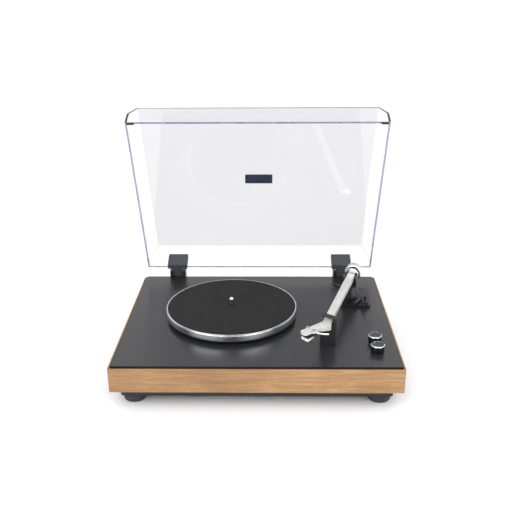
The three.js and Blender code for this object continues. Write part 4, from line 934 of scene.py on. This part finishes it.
def makeStudio():
    s = studio
    half = s["floorSize"] / 2
    mesh = bpy.data.meshes.new("floor")
    mesh.from_pydata([(-half, -half, 0), (half, -half, 0), (half, half, 0), (-half, half, 0)], [], [(0, 1, 2, 3)])
    material, tree = newMaterial("pale floor")
    mesh.materials.append(finishMaterial(material, tree, **{"Base Color": linear(s["floor"]), "Roughness": 0.6}))
    floor = bpy.data.objects.new("floor", mesh)
    bpy.context.scene.collection.objects.link(floor)

    world = bpy.data.worlds.new("studio")
    bpy.context.scene.world = world
    world.use_nodes = True
    tree = world.node_tree
    tree.nodes.clear()
    look = addNode(tree, "ShaderNodeTexCoord", out="Generated")
    parts = addNode(tree, "ShaderNodeSeparateXYZ", {0: look}).outputs
    front = addNode(tree, "ShaderNodeMath", {0: parts["Y"], 1: -1.0}, 0, operation="MULTIPLY")
    bearing = addNode(tree, "ShaderNodeMath", {0: parts["X"], 1: front}, 0, operation="ARCTAN2")
    share = addNode(tree, "ShaderNodeMapRange", {"Value": bearing, "From Min": -math.pi, "From Max": math.pi}, 0)
    stops = [((angle + 180) / 360, tone / s["scale"]) for angle, tone in s["walls"]]
    wall = addNode(tree, "ShaderNodeValToRGB", {"Fac": share}, "Color", stops)
    rise = addNode(tree, "ShaderNodeMapRange", {
        "Value": parts["Z"], "From Min": s["topFrom"], "From Max": s["topTo"],
    }, 0)
    top = [s["top"] / s["scale"]] * 3 + [1]
    sky = addNode(tree, "ShaderNodeMix", {0: rise, 6: wall, 7: top}, 2, data_type="RGBA")
    background = addNode(tree, "ShaderNodeBackground", {"Color": sky, "Strength": s["scale"]}, 0)
    addNode(tree, "ShaderNodeOutputWorld", {"Surface": background})

    key = bpy.data.lights.new("key", "SUN")
    key.energy = s["key"]
    key.angle = math.radians(s["keySoftness"])
    lamp = bpy.data.objects.new("key", key)
    turn = Matrix.Rotation(math.radians(s["keyTurn"]), 4, "Z")
    lamp.matrix_world = turn @ Matrix.Rotation(math.radians(s["keyTilt"]), 4, "X")
    bpy.context.scene.collection.objects.link(lamp)
    bpy.context.scene.view_settings.view_transform = "Standard"


def makeCamera():
    lens = bpy.data.cameras.new("camera")
    lens.lens = view["lens"]
    lens.sensor_width = 36
    camera = bpy.data.objects.new("camera", lens)
    heading = Matrix.Rotation(math.radians(-view["yaw"]), 4, "Z")
    tilt = Matrix.Rotation(math.radians(90 - view["pitch"]), 4, "X")
    roll = Matrix.Rotation(math.radians(view["roll"]), 4, "Z")
    camera.matrix_world = Matrix.Translation(view["position"]) @ heading @ tilt @ roll
    bpy.context.scene.collection.objects.link(camera)
    bpy.context.scene.camera = camera


makeStudio()
makeCamera()
makeEasedPieces()
makePlatter()
makeMat()
makeKnobs()
makeScrews(makeFeet())
makeSockets()
makeDrive()
makeBalance()
makeCover()

print("finished")
